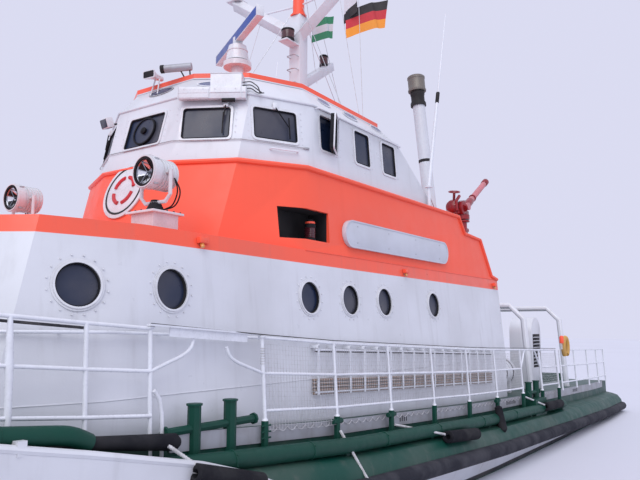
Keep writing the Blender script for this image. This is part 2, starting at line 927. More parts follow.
def facets(low: tuple[Pair, ...], low_z: float, top: tuple[Pair, ...], top_z: float) -> list[Facet]:
    """Makes the panels of a tier's front and port side.

    Args:
        low: Half plan of its foot from the bow, as pairs of x and y.
        low_z: The foot's height.
        top: Half plan of its top.
        top_z: The top's height.

    Returns:
        The front panel, then those along the port side.
    """
    feet = [Vector((x, y, low_z)) for x, y in low]
    tops = [Vector((x, y, top_z)) for x, y in top]
    feet.insert(0, Vector((low[0][0], -low[0][1], low_z)))
    tops.insert(0, Vector((top[0][0], -top[0][1], top_z)))
    return [Facet(*corners) for corners in zip(feet, feet[1:], tops, tops[1:])]


HOUSE_AFT = -4.39
KNUCKLE_Z = 2.05
LOWER_TOP = 3.83
UPPER_TOP = 5.08
WHEEL_TOP = 6.12
ROOF_TOP = 6.48
LOWER_PLAN = ((8.35, 0.8), (7.5, 2.06), (6.56, 2.38), (HOUSE_AFT, 2.38))
LOWER_PLAN_TOP = ((7.76, 0.74), (7.03, 1.91), (6.02, 2.225), (HOUSE_AFT, 2.225))
UPPER_PLAN = ((4.79, 0.48), (4.26, 1.57), (3.12, 2.225), (HOUSE_AFT, 2.225))
UPPER_PLAN_TOP = ((4.38, 0.65), (3.906, 1.63), (2.995, 2.15), (HOUSE_AFT, 2.15))
WHEEL_PLAN = ((4.35, 0.69), (3.86, 1.58), (2.86, 2.07), (-1.5, 2.06))
WHEEL_PLAN_TOP = ((4.07, 0.75), (3.57, 1.55), (2.63, 1.995), (-0.15, 1.96))
ROOF_PLAN_TOP = ((3.81, 0.62), (3.36, 1.33), (2.53, 1.71), (0.06, 1.62))
LOWER = facets(LOWER_PLAN, KNUCKLE_Z, LOWER_PLAN_TOP, LOWER_TOP)
UPPER = facets(UPPER_PLAN, LOWER_TOP, UPPER_PLAN_TOP, UPPER_TOP)
WHEEL = facets(WHEEL_PLAN, UPPER_TOP, WHEEL_PLAN_TOP, WHEEL_TOP)
ROOF = facets(WHEEL_PLAN_TOP, WHEEL_TOP, ROOF_PLAN_TOP, ROOF_TOP)


@dataclass(frozen=True)
class Studio:
    """Floor at the waterline, soft light and the camera."""

    # The camera was fitted to the photograph. Its focal length is in pixels of the frame's width
    eye: Triple = (10.7, 7.78, 2.75)
    yaw: float = math.radians(35.0)
    pitch: float = math.radians(7.4)
    focal_pixels: float = 670.0
    frame_pixels: float = 640.0
    sensor: float = 36.0
    far: float = 500.0
    floor_half: float = 150.0
    sky: Colour = (0.76, 0.77, 0.95)
    sky_strength: float = 0.93
    sun_strength: float = 1.5
    sun_spread: float = math.radians(50.0)
    sun_from: Triple = (0.72, 0.3, 0.8)

    def build(self) -> None:
        """Makes the floor, the light and the camera."""
        self.floor()
        self.light()
        self.camera()

    def floor(self) -> None:
        """Makes the pale floor."""
        half = self.floor_half
        mesh = bpy.data.meshes.new("floor")
        corners = [(-half, -half, 0), (half, -half, 0), (half, half, 0), (-half, half, 0)]
        mesh.from_pydata(corners, [], [[0, 1, 2, 3]])
        pale = Finish("pale floor", (0.66, 0.67, 0.74), 0.8, mottle=0.01, patch=0.1, grain=6.0)
        mesh.materials.append(pale.material())
        floor = bpy.data.objects.new("floor", mesh)
        bpy.context.scene.collection.objects.link(floor)

    def light(self) -> None:
        """Makes the overcast sky and a broad soft sun from ahead."""
        world = bpy.data.worlds.new("overcast")
        world.use_nodes = True
        sky = world.node_tree.nodes["Background"]
        sky.inputs["Color"].default_value = (*self.sky, 1.0)
        sky.inputs["Strength"].default_value = self.sky_strength
        bpy.context.scene.world = world
        lamp = bpy.data.lights.new("soft sun", "SUN")
        lamp.energy = self.sun_strength
        lamp.angle = self.sun_spread
        sun = bpy.data.objects.new("soft sun", lamp)
        sun.rotation_euler = Vector(self.sun_from).to_track_quat("Z", "Y").to_euler()
        bpy.context.scene.collection.objects.link(sun)
        bpy.context.scene.view_settings.view_transform = "Standard"

    def camera(self) -> None:
        """Sets the camera at the photograph's viewing angle."""
        lens = bpy.data.cameras.new("camera")
        lens.sensor_width = self.sensor
        lens.lens = self.focal_pixels / self.frame_pixels * self.sensor
        lens.clip_end = self.far
        camera = bpy.data.objects.new("camera", lens)
        camera.location = self.eye
        level = math.cos(self.pitch)
        ahead = Vector((-math.cos(self.yaw) * level, -math.sin(self.yaw) * level, math.sin(self.pitch)))
        camera.rotation_euler = ahead.to_track_quat("-Z", "Y").to_euler()
        bpy.context.scene.collection.objects.link(camera)
        bpy.context.scene.camera = camera


@dataclass(frozen=True)
class Hull:
    """Hull, strakes, the edge of the walking deck and the guard pipe's fittings."""

    toe_fore: float = 5.9
    toe_aft: float = -13.0
    toe_spans: int = 40
    toe_height: float = 0.19
    toe_thick: float = 0.012
    toe_out: float = 0.004
    toe_over: float = 0.02
    # Width and height of a vent slot
    slot: Pair = (0.028, 0.085)
    slot_step: float = 0.0672
    # Groups of vent slots in the toe plate. Columns: foremost x, number of slots
    vents: tuple[tuple[float, int], ...] = ((-3.6, 9), (1.15, 4), (-9.0, 8))
    pipe_in: float = 0.255
    pipe_drop: float = 0.285
    pipe_radius: float = 0.105
    band_xs: tuple[float, ...] = (5.2, 3.85, 2.1, 0.35, -1.5, -3.3, -5.2, -6.6)
    band_wide: float = 0.035
    rung_heights: Triple = (-0.11, -0.04, 0.03)
    rung_half: float = 0.085

    def build(self) -> None:
        """Makes and dresses the hull's own pieces."""
        dress("hull", HULL_PAINT)
        for side in Side:
            dress(f"rubber_strake_{side.word}", STRAKE_RUBBER)
            dress(f"deck_edge_tube_{side.word}", GREEN_ENAMEL)
        dress("forward_bulwark", WHITE_PAINT)
        self.toe_plates()
        self.pipe_fittings()

    def toe_plates(self) -> None:
        """Makes the grey plates along the walking deck's edge, with their vent slots."""
        toe = Piece("toe_plates", ALUMINIUM)
        rings = []
        for i in range(self.toe_spans + 1):
            x = self.toe_fore + (self.toe_aft - self.toe_fore) * i / self.toe_spans
            back = DECK.edge(x) + self.toe_out
            face = back + self.toe_thick
            top = DECK.height(x) + self.toe_over
            low = top - self.toe_height
            section = ((back, low), (face, low), (face, top), (back, top))
            rings.append([Vector((x, y, z)) for y, z in section])
        toe.loft(rings)
        toe.use(BLACK)
        half = Vector((self.slot[0] / 2, 0.002, self.slot[1] / 2))
        for fore, number in self.vents:
            for k in range(number):
                x = fore - k * self.slot_step
                y = DECK.edge(x) + self.toe_thick + self.toe_out
                middle = Vector((x, y, DECK.height(x) - self.toe_height / 2 + self.toe_over))
                toe.box(middle - half, middle + half)
        toe.mirror()
        toe.done("house_white")

    def pipe_point(self, x: float) -> Vector:
        """Returns a point on the guard pipe's middle line."""
        return Vector((x, DECK.half(x) - self.pipe_in, DECK.height(x) - self.pipe_drop))

    def pipe_fittings(self) -> None:
        """Makes weld bands on the guard pipe, rungs and white feet at the rail's sockets."""
        pipe = Piece("guard_pipe_bands", GREEN_ENAMEL)
        for x in self.band_xs:
            here = self.pipe_point(x)
            pipe.rod(here, self.pipe_point(x - self.band_wide), self.pipe_radius + 0.006, sides=28)
            for turn in (-0.5, 0.6):
                out = Vector((0, math.cos(turn), math.sin(turn))) * (self.pipe_radius + 0.004)
                middle = here - AHEAD * 0.015
                pipe.rod(middle + out, middle + out * 1.12, 0.012, sides=6)
        for height in self.rung_heights:
            rung = DECK.rail(DECK.side_posts[0], 0) + Vector((0, 0.02, height))
            pipe.rod(rung - AHEAD * self.rung_half, rung + AHEAD * self.rung_half, 0.011, sides=8)
        pipe.use(RAIL_WHITE)
        for x in DECK.side_posts:
            foot = DECK.rail(x, 0) + UP * 0.082
            pipe.rod(foot, foot + UP * 0.03, 0.04, 0.028)
        pipe.mirror()
        pipe.done("deck_green")


@dataclass(frozen=True)
class Foredeck:
    """Guard pipe inside the bulwark, hatch, windlass and anchor gear."""

    pipe_in: float = 0.175
    pipe_radius: float = 0.086
    # Line of the guard pipe. Columns: x, how far further in, height over the deck
    pipe_line: Line = (
        (6.93, 0.04, 0.0),
        (7.12, 0.0, 0.075),
        (8.2, 0.0, 0.075),
        (9.3, 0.0, 0.075),
        (9.43, 0.03, 0.01),
    )
    band_xs: Pair = (7.75, 8.9)
    band_wide: float = 0.04
    # The lid's hinges and the windlass's drums. Columns: x, y, height over the deck
    hinges: Triple = (9.28, 0.24, 0.24)
    drums: Triple = (11.3, 0.42, 0.25)
    # Warping drum from its inner end. Columns: radius, height
    drum: Profile = (
        (0.05, 0.0), (0.11, 0.01), (0.075, 0.05), (0.075, 0.08), (0.115, 0.12), (0.03, 0.125),
    )
    roller_x: float = 12.6

    def build(self) -> None:
        """Makes and dresses the foredeck's pieces."""
        dress("hatch_coaming", WHITE_PAINT, 0.008)
        dress("hatch_lid", GREEN_ENAMEL, 0.01)
        dress("windlass", GREEN_ENAMEL, 0.01)
        self.guard_pipe()
        self.deck_gear()

    def line_point(self, x: float, inward: float, over: float) -> Vector:
        """Returns a point on the guard pipe's middle line."""
        return Vector((x, DECK.half(x) - self.pipe_in - inward, DECK.height(x) + over))

    def guard_pipe(self) -> None:
        """Makes the green pipe inside the bulwark, with its bands."""
        pipe = Piece("fore_guard_pipe", GREEN_ENAMEL)
        path = [self.line_point(*row) for row in self.pipe_line]
        pipe.tube(rounded(path, 0.12), self.pipe_radius, 24)
        over = self.pipe_line[1][2]
        for x in self.band_xs:
            end = self.line_point(x - self.band_wide, 0, over)
            pipe.rod(self.line_point(x, 0, over), end, self.pipe_radius + 0.006, sides=28)
        pipe.mirror()
        pipe.done("deck_green")

    def deck_gear(self) -> None:
        """Makes the hatch's hinges, the windlass's drums and the bow roller."""
        gear = Piece("foredeck_gear", STEEL)
        x, half, over = self.hinges
        lid = DECK.height(10.0) + over
        for y in (-half, half):
            gear.rod((x, y - 0.05, lid), (x, y + 0.05, lid), 0.018)
        x, half, over = self.drums
        for y in (-half, half):
            end = math.copysign(0.06, y)
            gear.turned(frame_of((x, y - end, DECK.height(x) + over), (0, end, 0)), self.drum)
        gear.use(BLACK)
        x = self.roller_x
        deck = DECK.height(x)
        gear.rod((x, -0.12, deck + 0.12), (x, 0.12, deck + 0.12), 0.07)
        gear.use(WHITE_PAINT)
        for y in (-0.15, 0.15):
            gear.box((x - 0.1, y - 0.012, deck - 0.01), (x + 0.1, y + 0.012, deck + 0.2))
        gear.done("shaft_steel")


@dataclass(frozen=True)
class Fenders:
    """Black fenders along the port side, with their white lashings."""

    # Columns: one end, other end, radius there, radius here, whether it is a hollow cylinder
    rows: tuple[tuple[Triple, Triple, float, float, bool], ...] = (
        ((7.95, 2.62, 1.86), (5.9, 2.7, 1.62), 0.035, 0.085, False),
        ((5.95, 2.99, 1.36), (5.05, 3.08, 1.13), 0.1, 0.1, True),
        ((0.35, 3.06, 0.98), (-0.75, 3.1, 0.9), 0.1, 0.1, True),
        ((-5.2, 2.98, 0.93), (-6.4, 2.98, 0.9), 0.1, 0.1, True),
        ((-2.3, 2.93, 1.22), (-2.36, 3.0, 0.72), 0.07, 0.09, False),
    )
    # Lashings. Columns: from, to
    lashings: tuple[Span, ...] = (
        ((6.16, 2.66, 1.7), (5.9, 2.98, 1.42)),
        ((1.5, 2.72, 1.28), (0.36, 3.02, 1.02)),
        ((3.03, 2.74, 1.38), (2.95, 3.16, 0.72)),
        ((-4.5, 2.74, 1.2), (-5.2, 2.96, 0.97)),
    )
    rope_radius: float = 0.02
    rope_lay: float = 0.09
    rope_step: float = 0.012
    strands: int = 3

    def build(self) -> None:
        """Makes the fenders and lashings."""
        fenders = Piece("fenders_port", RUBBER)
        for start, end, radius, end_radius, hollow in self.rows:
            way = Vector(end) - Vector(start)
            profile = self.profile(way.length, radius, end_radius, hollow)
            fenders.turned(frame_of(start, way), profile, 28)
        fenders.done("strake_rubber")
        ropes = Piece("fender_lashings_port", ROPE)
        for start, end in self.lashings:
            self.rope(ropes, Vector(start), Vector(end))
        ropes.done("rail_white")

    def profile(self, length: float, radius: float, end: float, hollow: bool) -> Profile:
        """Draws a fender's outline.

        Args:
            length: Its length.
            radius: Its radius at the start.
            end: Its radius at the end.
            hollow: Whether it is a cylinder with a bore.

        Returns:
            Points of radius and height.
        """
        if not hollow:
            return (radius * 0.4, 0.0), (radius, 0.03), (end, length - 0.05), (end * 0.6, length)
        bore = radius * 0.42
        ease = 0.012
        mouth = ((bore, 0.09), (bore, 0.008), (bore + 0.01, 0.0), (radius - ease, 0.0), (radius, ease))
        return mouth + ((end, length - ease), (end - ease, length), (bore, length))

    def rope(self, piece: Piece, start: Vector, end: Vector) -> None:
        """Adds a short laid rope.

        Args:
            piece: The piece that takes it.
            start: One end.
            end: The other end.
        """
        length = (end - start).length
        axes = frame_of(start, end - start)
        steps = max(6, int(length / self.rope_step))
        for strand in range(self.strands):
            path = []
            for i in range(steps + 1):
                along = length * i / steps
                angle = 2 * math.pi * (strand / self.strands + along / self.rope_lay)
                spot = Vector((math.cos(angle), math.sin(angle), 0)) * self.rope_radius * 0.5
                path.append(axes @ (spot + UP * along))
            piece.tube(path, self.rope_radius * 0.55, 6)


@dataclass(frozen=True)
class LowerHouse:
    """Lower deckhouse with its portholes, grab rails, seams and lamps."""

    # Portholes. Columns: x, index of the panel
    portholes: tuple[tuple[float, int], ...] = (
        (6.72, 2), (5.66, 3), (3.1, 3), (2.05, 3), (1.0, 3), (-0.85, 3),
    )
    porthole_z: float = 3.157
    porthole_radius: float = 0.226
    flange: float = 0.036
    lip: float = 0.014
    bolt_circle: float = 0.301
    bolts: int = 16
    # Grab rail. Columns: x, y, z
    grab: Line = (
        (8.0, 1.15, 2.72),
        (7.42, 2.02, 2.71),
        (6.5, 2.385, 2.7),
        (4.1, 2.41, 2.61),
        (0.7, 2.42, 2.45),
        (-3.9, 2.43, 2.24),
    )
    grab_radius: float = 0.017
    bracket_step: float = 1.3
    # Small lamps on the band. Columns: x, z
    lamps: Profile = ((5.2, 3.72), (0.2, 3.7), (-4.1, 3.68))

    def build(self) -> None:
        """Makes and dresses the lower deckhouse."""
        dress("lower_deckhouse", HOUSE_PAINT)
        dress("deckhouse_door", WHITE_PAINT, 0.006)
        self.portholes_and_glass()
        self.seams()
        self.grab_rail()
        self.band_lamps()

    def portholes_and_glass(self) -> None:
        """Makes flange rings with their bolts, gaskets and panes."""
        rings = Piece("porthole_rings", LAMP_WHITE)
        panes = {side: Piece(f"porthole_panes_{side.word}", GLASS) for side in Side}
        radius = self.porthole_radius
        bore = radius - 0.006
        for x, index in self.portholes:
            panel = LOWER[index]
            axes = panel.axes(panel.share_at(x, self.porthole_z), self.porthole_z)
            rings.use(LAMP_WHITE)
            rings.collar(axes, radius + self.flange, bore, -0.004, 0.01, 48)
            rings.collar(axes, radius + self.lip, bore, 0.008, 0.024, 48)
            for spot in around(self.bolts, self.bolt_circle, start=math.pi / self.bolts):
                rings.rod(axes @ spot, axes @ spot + panel.normal * 0.014, 0.011, 0.007, sides=8)
            rings.use(RUBBER)
            rings.collar(axes, bore, radius - 0.02, -0.05, 0.004, 48)
            panes[Side.PORT].plate(axes, circle(radius - 0.004, 48), -0.045, -0.03)
        rings.mirror()
        rings.done("house_white")
        source, other = panes.values()
        other.points, other.faces = source.mirrored()
        other.finish_of_face = source.finish_of_face
        for side, piece in panes.items():
            piece.done("window_glass", replaces=(f"porthole_glass_{side.word}",))

    def seams(self) -> None:
        """Makes the weld beads along the knuckle."""
        seams = Piece("house_seams", WHITE_PAINT)
        seams.tube([(x, y + 0.001, KNUCKLE_Z) for x, y in LOWER_PLAN], 0.007, 6)
        seams.mirror()
        seams.done("house_white")

    def grab_rail(self) -> None:
        """Makes the grab rail round the house, on its brackets."""
        rail = Piece("grab_rails", RAIL_WHITE)
        path = [Vector(point) for point in self.grab]
        rail.tube(rounded(path, 0.12), self.grab_radius, 12)
        corner = path[2].x
        for start, end in zip(path, path[1:]):
            count = max(1, round((end - start).length / self.bracket_step))
            for k in range(count):
                spot = start.lerp(end, (k + 0.5) / count)
                inward = Vector((0, -0.075, 0) if spot.x < corner else (-0.035, -0.06, 0))
                rail.rod(spot, spot + inward, 0.011, sides=8)
        rail.mirror()
        rail.done("rail_white")

    def band_lamps(self) -> None:
        """Makes the small deck lamps under their orange brackets."""
        lamps = Piece("band_lamps", ORANGE_PAINT)
        side = LOWER[3]
        for x, z in self.lamps:
            axes = side.axes(side.share_at(x, z), z)
            lamps.use(ORANGE_PAINT)
            lamps.block(axes, (0.11, 0.07, 0.07), (0, 0.02, 0.035))
            lamps.block(axes, (0.05, 0.09, 0.03), (0.1, 0.03, 0.015))
            lamps.use(AMBER_LENS)
            lamps.rod(axes @ Vector((0, -0.02, 0.03)), axes @ Vector((0, -0.065, 0.045)), 0.025)
        lamps.mirror()
        lamps.done("signal_orange")


@dataclass(frozen=True)
class UpperHouse:
    """Orange upper deckhouse with its lip, sidelight niches, name boards and bow plate."""

    niche_low: Triple = (2.5, 1.815, 3.99)
    niche_high: Triple = (3.45, 2.235, 4.44)
    lining: float = 0.006
    niche_lean: float = 0.035
    # Where a lantern stands. Columns: x, y
    sidelight: Pair = (2.76, 2.04)
    # Profiles of the sidelight. Columns: radius, height
    lantern_foot: Profile = ((0.085, 0.0), (0.085, 0.05), (0.078, 0.06))
    lantern_cap: Profile = ((0.085, 0.21), (0.088, 0.24), (0.06, 0.3), (0.05, 0.33), (0.02, 0.34))
    lantern_ribs: int = 6
    # The edge of the tier along the step and down its after end. Columns: x, z
    step: Profile = (
        (-2.43, 5.08),
        (-2.67, 4.75),
        (-3.54, 4.7),
        (-4.04, 3.92),
        (-4.37, 3.86),
    )
    # Name board. Columns: x, z of its middle, then width, height
    board_middle: Pair = (0.275, 4.19)
    board_size: Pair = (3.75, 0.43)
    board_rim: float = 0.0225
    stud_xs: tuple[float, ...] = (-1.2, -0.2, 0.8, 1.8)
    stud_heights: Pair = (-0.13, 0.13)
    # Dark ring of the bow plate. Columns: outer radius, inner radius
    plate_rim: Pair = (0.375, 0.345)
    plate_stretch: float = 0.45 / 0.43
    # Lifebuoy ring on it. Columns: half width, half height
    ring_half: Pair = (0.2, 0.21)
    ring_gap: float = math.radians(12.0)
    ring_spans: int = 12
    whip_foot: Triple = (-1.12, 2.115, 5.08)
    whip_top: Triple = (-1.8, 2.26, 9.3)
    whip_socket: float = 0.39
    # Shield over the whip's socket. Columns: radius, height
    whip_shield: Profile = ((0.03, -0.01), (0.07, 0.0), (0.07, 0.025), (0.035, 0.035))

    def build(self) -> None:
        """Makes and dresses the upper deckhouse."""
        dress("upper_deckhouse", ORANGE_PAINT)
        self.lip()
        self.niches()
        for side in Side:
            self.lantern(side)
        self.boards()
        self.bow_plate()
        self.whips()

    def wall_y(self, z: float) -> float:
        """Returns how far out the side wall stands at a height."""
        share = (z - LOWER_TOP) / (UPPER_TOP - LOWER_TOP)
        return UPPER_PLAN[2][1] + (UPPER_PLAN_TOP[2][1] - UPPER_PLAN[2][1]) * share

    def lip(self) -> None:
        """Makes the raised edge that runs round the tier's roof and down its step."""
        lip = Piece("tier_lip", ORANGE_PAINT)
        out, z = 0.01, UPPER_TOP - 0.03
        top = [(UPPER_PLAN_TOP[0][0] + out, -out, z)]
        top += [(x + out, y + out, z) for x, y in UPPER_PLAN_TOP[:3]]
        down = [(x, self.wall_y(height) + out, height - 0.02) for x, height in self.step]
        lip.tube(top + down, 0.038, 8)
        fore, y = UPPER_PLAN[2]
        lip.tube([(x, y + 0.003, LOWER_TOP - 0.002) for x in (fore, HOUSE_AFT)], 0.008, 6)
        lip.mirror()
        lip.done("signal_orange")

    def niches(self) -> None:
        """Makes the black linings of the niches."""
        low, high = Vector(self.niche_low), Vector(self.niche_high)
        thick, seam = self.lining, 0.001
        shoulder, wall = UPPER[2], UPPER[3]
        fore_y = shoulder.at(shoulder.share_at(high.x - 2 * thick, low.z), low.z).y
        outline = [
            (low.x + thick, low.y + thick),
            (high.x - thick, low.y + thick),
            (high.x - thick, fore_y - 0.05),
            (shoulder.at(1, low.z).x, wall.at(0, low.z).y - 0.04),
            (low.x + thick, wall.at(0.1, low.z).y - 0.04),
        ]
        lining = Piece("niche_linings", MATT_BLACK)
        for z, lean in ((low.z + seam, 0.0), (high.z - thick - seam, self.niche_lean)):
            shape = outline[:2] + [(x, y - lean) for x, y in outline[2:]]
            lining.loft([ring_of(Matrix(), shape, height) for height in (z, z + thick)])
        lining.box((low.x + seam, low.y + seam, low.z), (high.x - seam, low.y + thick, high.z))
        lining.box((low.x + seam, low.y, low.z), (low.x + thick, self.wall_y(high.z) - 0.03, high.z))
        lining.box((high.x - thick, low.y, low.z), (high.x - seam, fore_y - 0.08, high.z))
        lining.mirror()
        lining.done("monitor_red")

    def lantern(self, side: Side) -> None:
        """Makes the lantern in one niche.

        Args:
            side: The niche's side.
        """
        lantern = Piece(f"sidelight_{side.word}", BLACK)
        axes = upright(side.place((*self.sidelight, self.niche_low[2])))
        lantern.turned(axes, self.lantern_foot)
        lantern.use(MAROON if side is Side.PORT else GREEN_LENS)
        lens = self.lantern_foot[-1:]
        for k in range(self.lantern_ribs):
            rise = k * 0.025
            lens += ((0.084, 0.075 + rise), (0.078, 0.087 + rise))
        lantern.turned(axes, lens)
        lantern.use(BLACK)
        lantern.turned(axes, self.lantern_cap)
        lantern.done("monitor_red")

    def boards(self) -> None:
        """Makes the blank name boards' rims and studs."""
        for side in Side:
            dress(f"name_board_{side.word}", BOARD_WHITE, 0.006)
        rims = Piece("name_board_rims", BOARD_WHITE)
        middle_x, z = self.board_middle
        y = self.wall_y(z) + 0.07
        width, height = self.board_size
        outer = soft_box(width, height, height / 2 - 0.0001, 12)
        inner_width, inner_height = width - 2 * self.board_rim, height - 2 * self.board_rim
        inner = soft_box(inner_width, inner_height, inner_height / 2 - 0.0001, 12)
        rims.hoop(frame_of((middle_x, y, z), TO_PORT, AHEAD), outer, inner, -0.001, 0.007)
        rims.use(STEEL)
        for x in self.stud_xs:
            for rise in self.stud_heights:
                rims.rod((x, y, z + rise), (x, y + 0.006, z + rise), 0.012, sides=10)
        rims.mirror()
        rims.done("board_white")

    def bow_plate(self) -> None:
        """Makes the oval plate's dark ring and a plain lifebuoy ring on it."""
        dress("emblem_plate", LAMP_WHITE, 0.006)
        low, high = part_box("emblem_plate")
        lean = (UPPER_PLAN[0][0] - UPPER_PLAN_TOP[0][0]) / (UPPER_TOP - LOWER_TOP)
        normal = Vector((1, 0, lean)).normalized()
        axes = frame_of((low + high) / 2 + normal * 0.0155, normal, TO_PORT)
        plate = Piece("bow_plate_ring", BLACK)
        outer, inner = (circle(radius, 64, self.plate_stretch) for radius in self.plate_rim)
        plate.hoop(axes, outer, inner, -0.002, 0.003)
        plate.use(CLOTH_RED)
        quarter_turn = math.pi / 2
        for quarter in range(4):
            arc = []
            for step in range(self.ring_spans + 1):
                share = step / self.ring_spans
                angle = quarter * quarter_turn + self.ring_gap + (quarter_turn - 2 * self.ring_gap) * share
                spot = (self.ring_half[0] * math.cos(angle), self.ring_half[1] * math.sin(angle), 0)
                arc.append(axes @ Vector(spot))
            plate.tube(arc, 0.03, 8)
        plate.done("board_white")

    def whips(self) -> None:
        """Makes the whip antennas with their sockets, shields and braces."""
        whips = Piece("whip_antennas", RAIL_WHITE)
        foot, top = Vector(self.whip_foot), Vector(self.whip_top)
        socket = foot + UP * self.whip_socket
        whips.rod(foot, socket, 0.034)
        whips.turned(upright(socket), self.whip_shield)
        half_way = socket.lerp(top, 0.5)
        whips.rod(socket, half_way, 0.036, 0.03, sides=12)
        whips.rod(half_way, top, 0.0195, 0.0095, sides=12)
        whips.use(BLACK)
        whips.rod(socket.lerp(top, 0.47), socket.lerp(top, 0.53), 0.038, sides=12)
        whips.use(STEEL)
        whips.block(upright(foot + UP * 0.01), (0.12, 0.07, 0.02))
        whips.rod(foot - AHEAD * 0.25, foot + UP * 0.25, 0.01, sides=8)
        whips.mirror()
        whips.done("rail_white")


@dataclass(frozen=True)
class Wheelhouse:
    """Wheelhouse with its windows, wipers, clear-view disc, gutter and handles."""

    corner: float = 0.05
    frame_width: float = 0.026
    gasket_width: float = 0.018
    sill: float = 0.01
    screws_a_side: int = 6
    hinge_angle: float = math.radians(28.0)
    # The front window, then those of the port half. Columns: the panel's corners, the shares of it that
    # the opening takes, lower and upper edge, panel, whether the pane is hinged
    openings: tuple[tuple, ...] = (
        ((4.285, -0.74), (4.285, 0.74), 0.23, 0.77, 5.41, 5.93, 0, False),
        ((4.285, 0.74), (3.775, 1.583), 0.08, 0.82, 5.41, 5.91, 1, False),
        ((3.775, 1.583), (2.8, 2.045), 0.17, 0.84, 5.44, 5.94, 2, False),
        ((2.8, 2.045), (-0.8, 2.01), 0.089, 0.224, 5.45, 6.03, 3, True),
        ((2.8, 2.045), (-0.8, 2.01), 0.371, 0.506, 5.45, 6.03, 3, False),
        ((2.8, 2.045), (-0.8, 2.01), 0.628, 0.7625, 5.45, 6.03, 3, False),
    )
    # Hub of the clear-view disc. Columns: radius, height
    hub: Profile = ((0.05, -0.018), (0.055, 0.03), (0.03, 0.045))
    # Wipers. Columns: window, foot across, foot up, blade across, blade up
    wiper_rows: tuple[tuple[int, float, float, float, float], ...] = (
        (1, 0.28, 0.26, 0.25, -0.02),
        (2, 0.0, 0.26, 0.22, -0.04),
    )
    # Bent handles. Columns: panel, share of both ends along it, height of both ends, distance from it
    handles: tuple[tuple[int, Pair, Pair, float], ...] = (
        (2, (0.42, 0.82), (5.3, 5.3), 0.05),
        (3, (0.02, 0.97), (6.08, 6.07), 0.07),
    )
    wire_z: float = 5.385

    def build(self) -> None:
        """Makes and dresses the wheelhouse."""
        dress("wheelhouse", WHITE_PAINT)
        self.windows()
        self.clear_view()
        self.wipers()
        self.gutter()

    def spot(self, row: tuple, share: float, z: float) -> Vector:
        """Finds where a window's side meets the wall.

        Args:
            row: The window's row of the table.
            share: The share of the panel where its side is.
            z: The height.

        Returns:
            The place on the wall.
        """
        start, end, panel = Vector((*row[0], z)), Vector((*row[1], z)), WHEEL[row[6]]
        flat = start.lerp(end, share)
        across = (end - start).cross(UP).normalized()
        reach = (panel.at(0.5, z) - flat).dot(panel.normal) / across.dot(panel.normal)
        return flat + across * reach

    def axes_of(self, row: tuple) -> tuple[Matrix, float, float]:
        """Measures a window's opening.

        Args:
            row: The window's row of the table.

        Returns:
            Its axes on the wall, its width and its height along the wall.
        """
        corners = [self.spot(row, share, z) for z in (row[4], row[5]) for share in (row[2], row[3])]
        middle = sum(corners, Vector()) / 4
        width = (corners[1] - corners[0]).length
        height = (corners[2] - corners[0]).length
        return frame_of(middle, WHEEL[row[6]].normal, WHEEL[row[6]].along), width, height

    def windows(self) -> None:
        """Makes the frames with round corners, their gaskets and the panes."""
        frames = Piece("window_frames", LAMP_WHITE)
        panes = Piece("window_panes", GLASS)
        for row in self.openings[1:]:
            self.window(frames, panes, row)
        frames.mirror()
        panes.mirror()
        self.window(frames, panes, self.openings[0])
        frames.done("house_white")
        panes.done("window_glass")
        dress("wheelhouse_glazing", GLASS)

    def grown(self, width: float, height: float, by: float, corner: float) -> Outline:
        """Returns a window's outline made larger by a margin, with round corners."""
        return soft_box(width + 2 * by, height + 2 * by, corner, 6)

    def window(self, frames: Piece, panes: Piece, row: tuple) -> None:
        """Adds one window's frame, gasket and pane.

        Args:
            frames: The piece that takes the frame.
            panes: The piece that takes the pane.
            row: The window's row of the table.
        """
        axes, width, height = self.axes_of(row)
        inner = self.grown(width, height, -self.sill, self.corner)
        gasket = self.grown(width, height, -self.sill - self.gasket_width, self.corner - 0.012)
        outer = self.grown(width, height, self.frame_width, self.corner + self.frame_width)
        frames.use(LAMP_WHITE)
        frames.hoop(axes, outer, inner, -0.01, 0.013)
        self.screws(frames, axes, width, height)
        start = len(frames.points), len(panes.points)
        frames.use(RUBBER)
        frames.hoop(axes, inner, gasket, -0.045, 0.008)
        panes.plate(axes, gasket, -0.03, -0.018)
        if row[7]:
            frames.use(LAMP_WHITE)
            frames.hoop(axes, self.grown(width, height, 0.0, self.corner), inner, 0.012, 0.035)
            hinge = axes @ Vector((width / 2, 0, 0.02))
            panel = WHEEL[row[6]]
            turn = Matrix.Rotation(self.hinge_angle, 4, panel.at(0, 6) - panel.at(0, 5))
            opened = Matrix.Translation(hinge) @ turn @ Matrix.Translation(-hinge)
            frames.swing(opened, start[0])
            panes.swing(opened, start[1])

    def screws(self, piece: Piece, axes: Matrix, width: float, height: float) -> None:
        """Adds the screw heads down both sides of a window.

        Args:
            piece: The piece that takes them.
            axes: The window's axes.
            width: Its width.
            height: Its height.
        """
        for side in (-1, 1):
            for k in range(self.screws_a_side):
                u = side * (width / 2 + self.frame_width + 0.045)
                v = (k / (self.screws_a_side - 1) - 0.5) * height
                piece.rod(axes @ Vector((u, v, 0)), axes @ Vector((u, v, 0.008)), 0.008, 0.005, sides=6)

    def clear_view(self) -> None:
        """Makes the rotating clear-view disc in the middle of the front window."""
        axes = self.axes_of(self.openings[0])[0] @ Matrix.Translation((0, 0, 0.008))
        disc = Piece("clear_view_disc", BLACK)
        disc.collar(axes, 0.23, 0.205, -0.018, 0.012)
        disc.turned(axes, self.hub, 24)
        disc.use(GLASS)
        disc.turned(axes, ((0.208, -0.016), (0.208, -0.004)), 40)
        disc.done("window_glass")

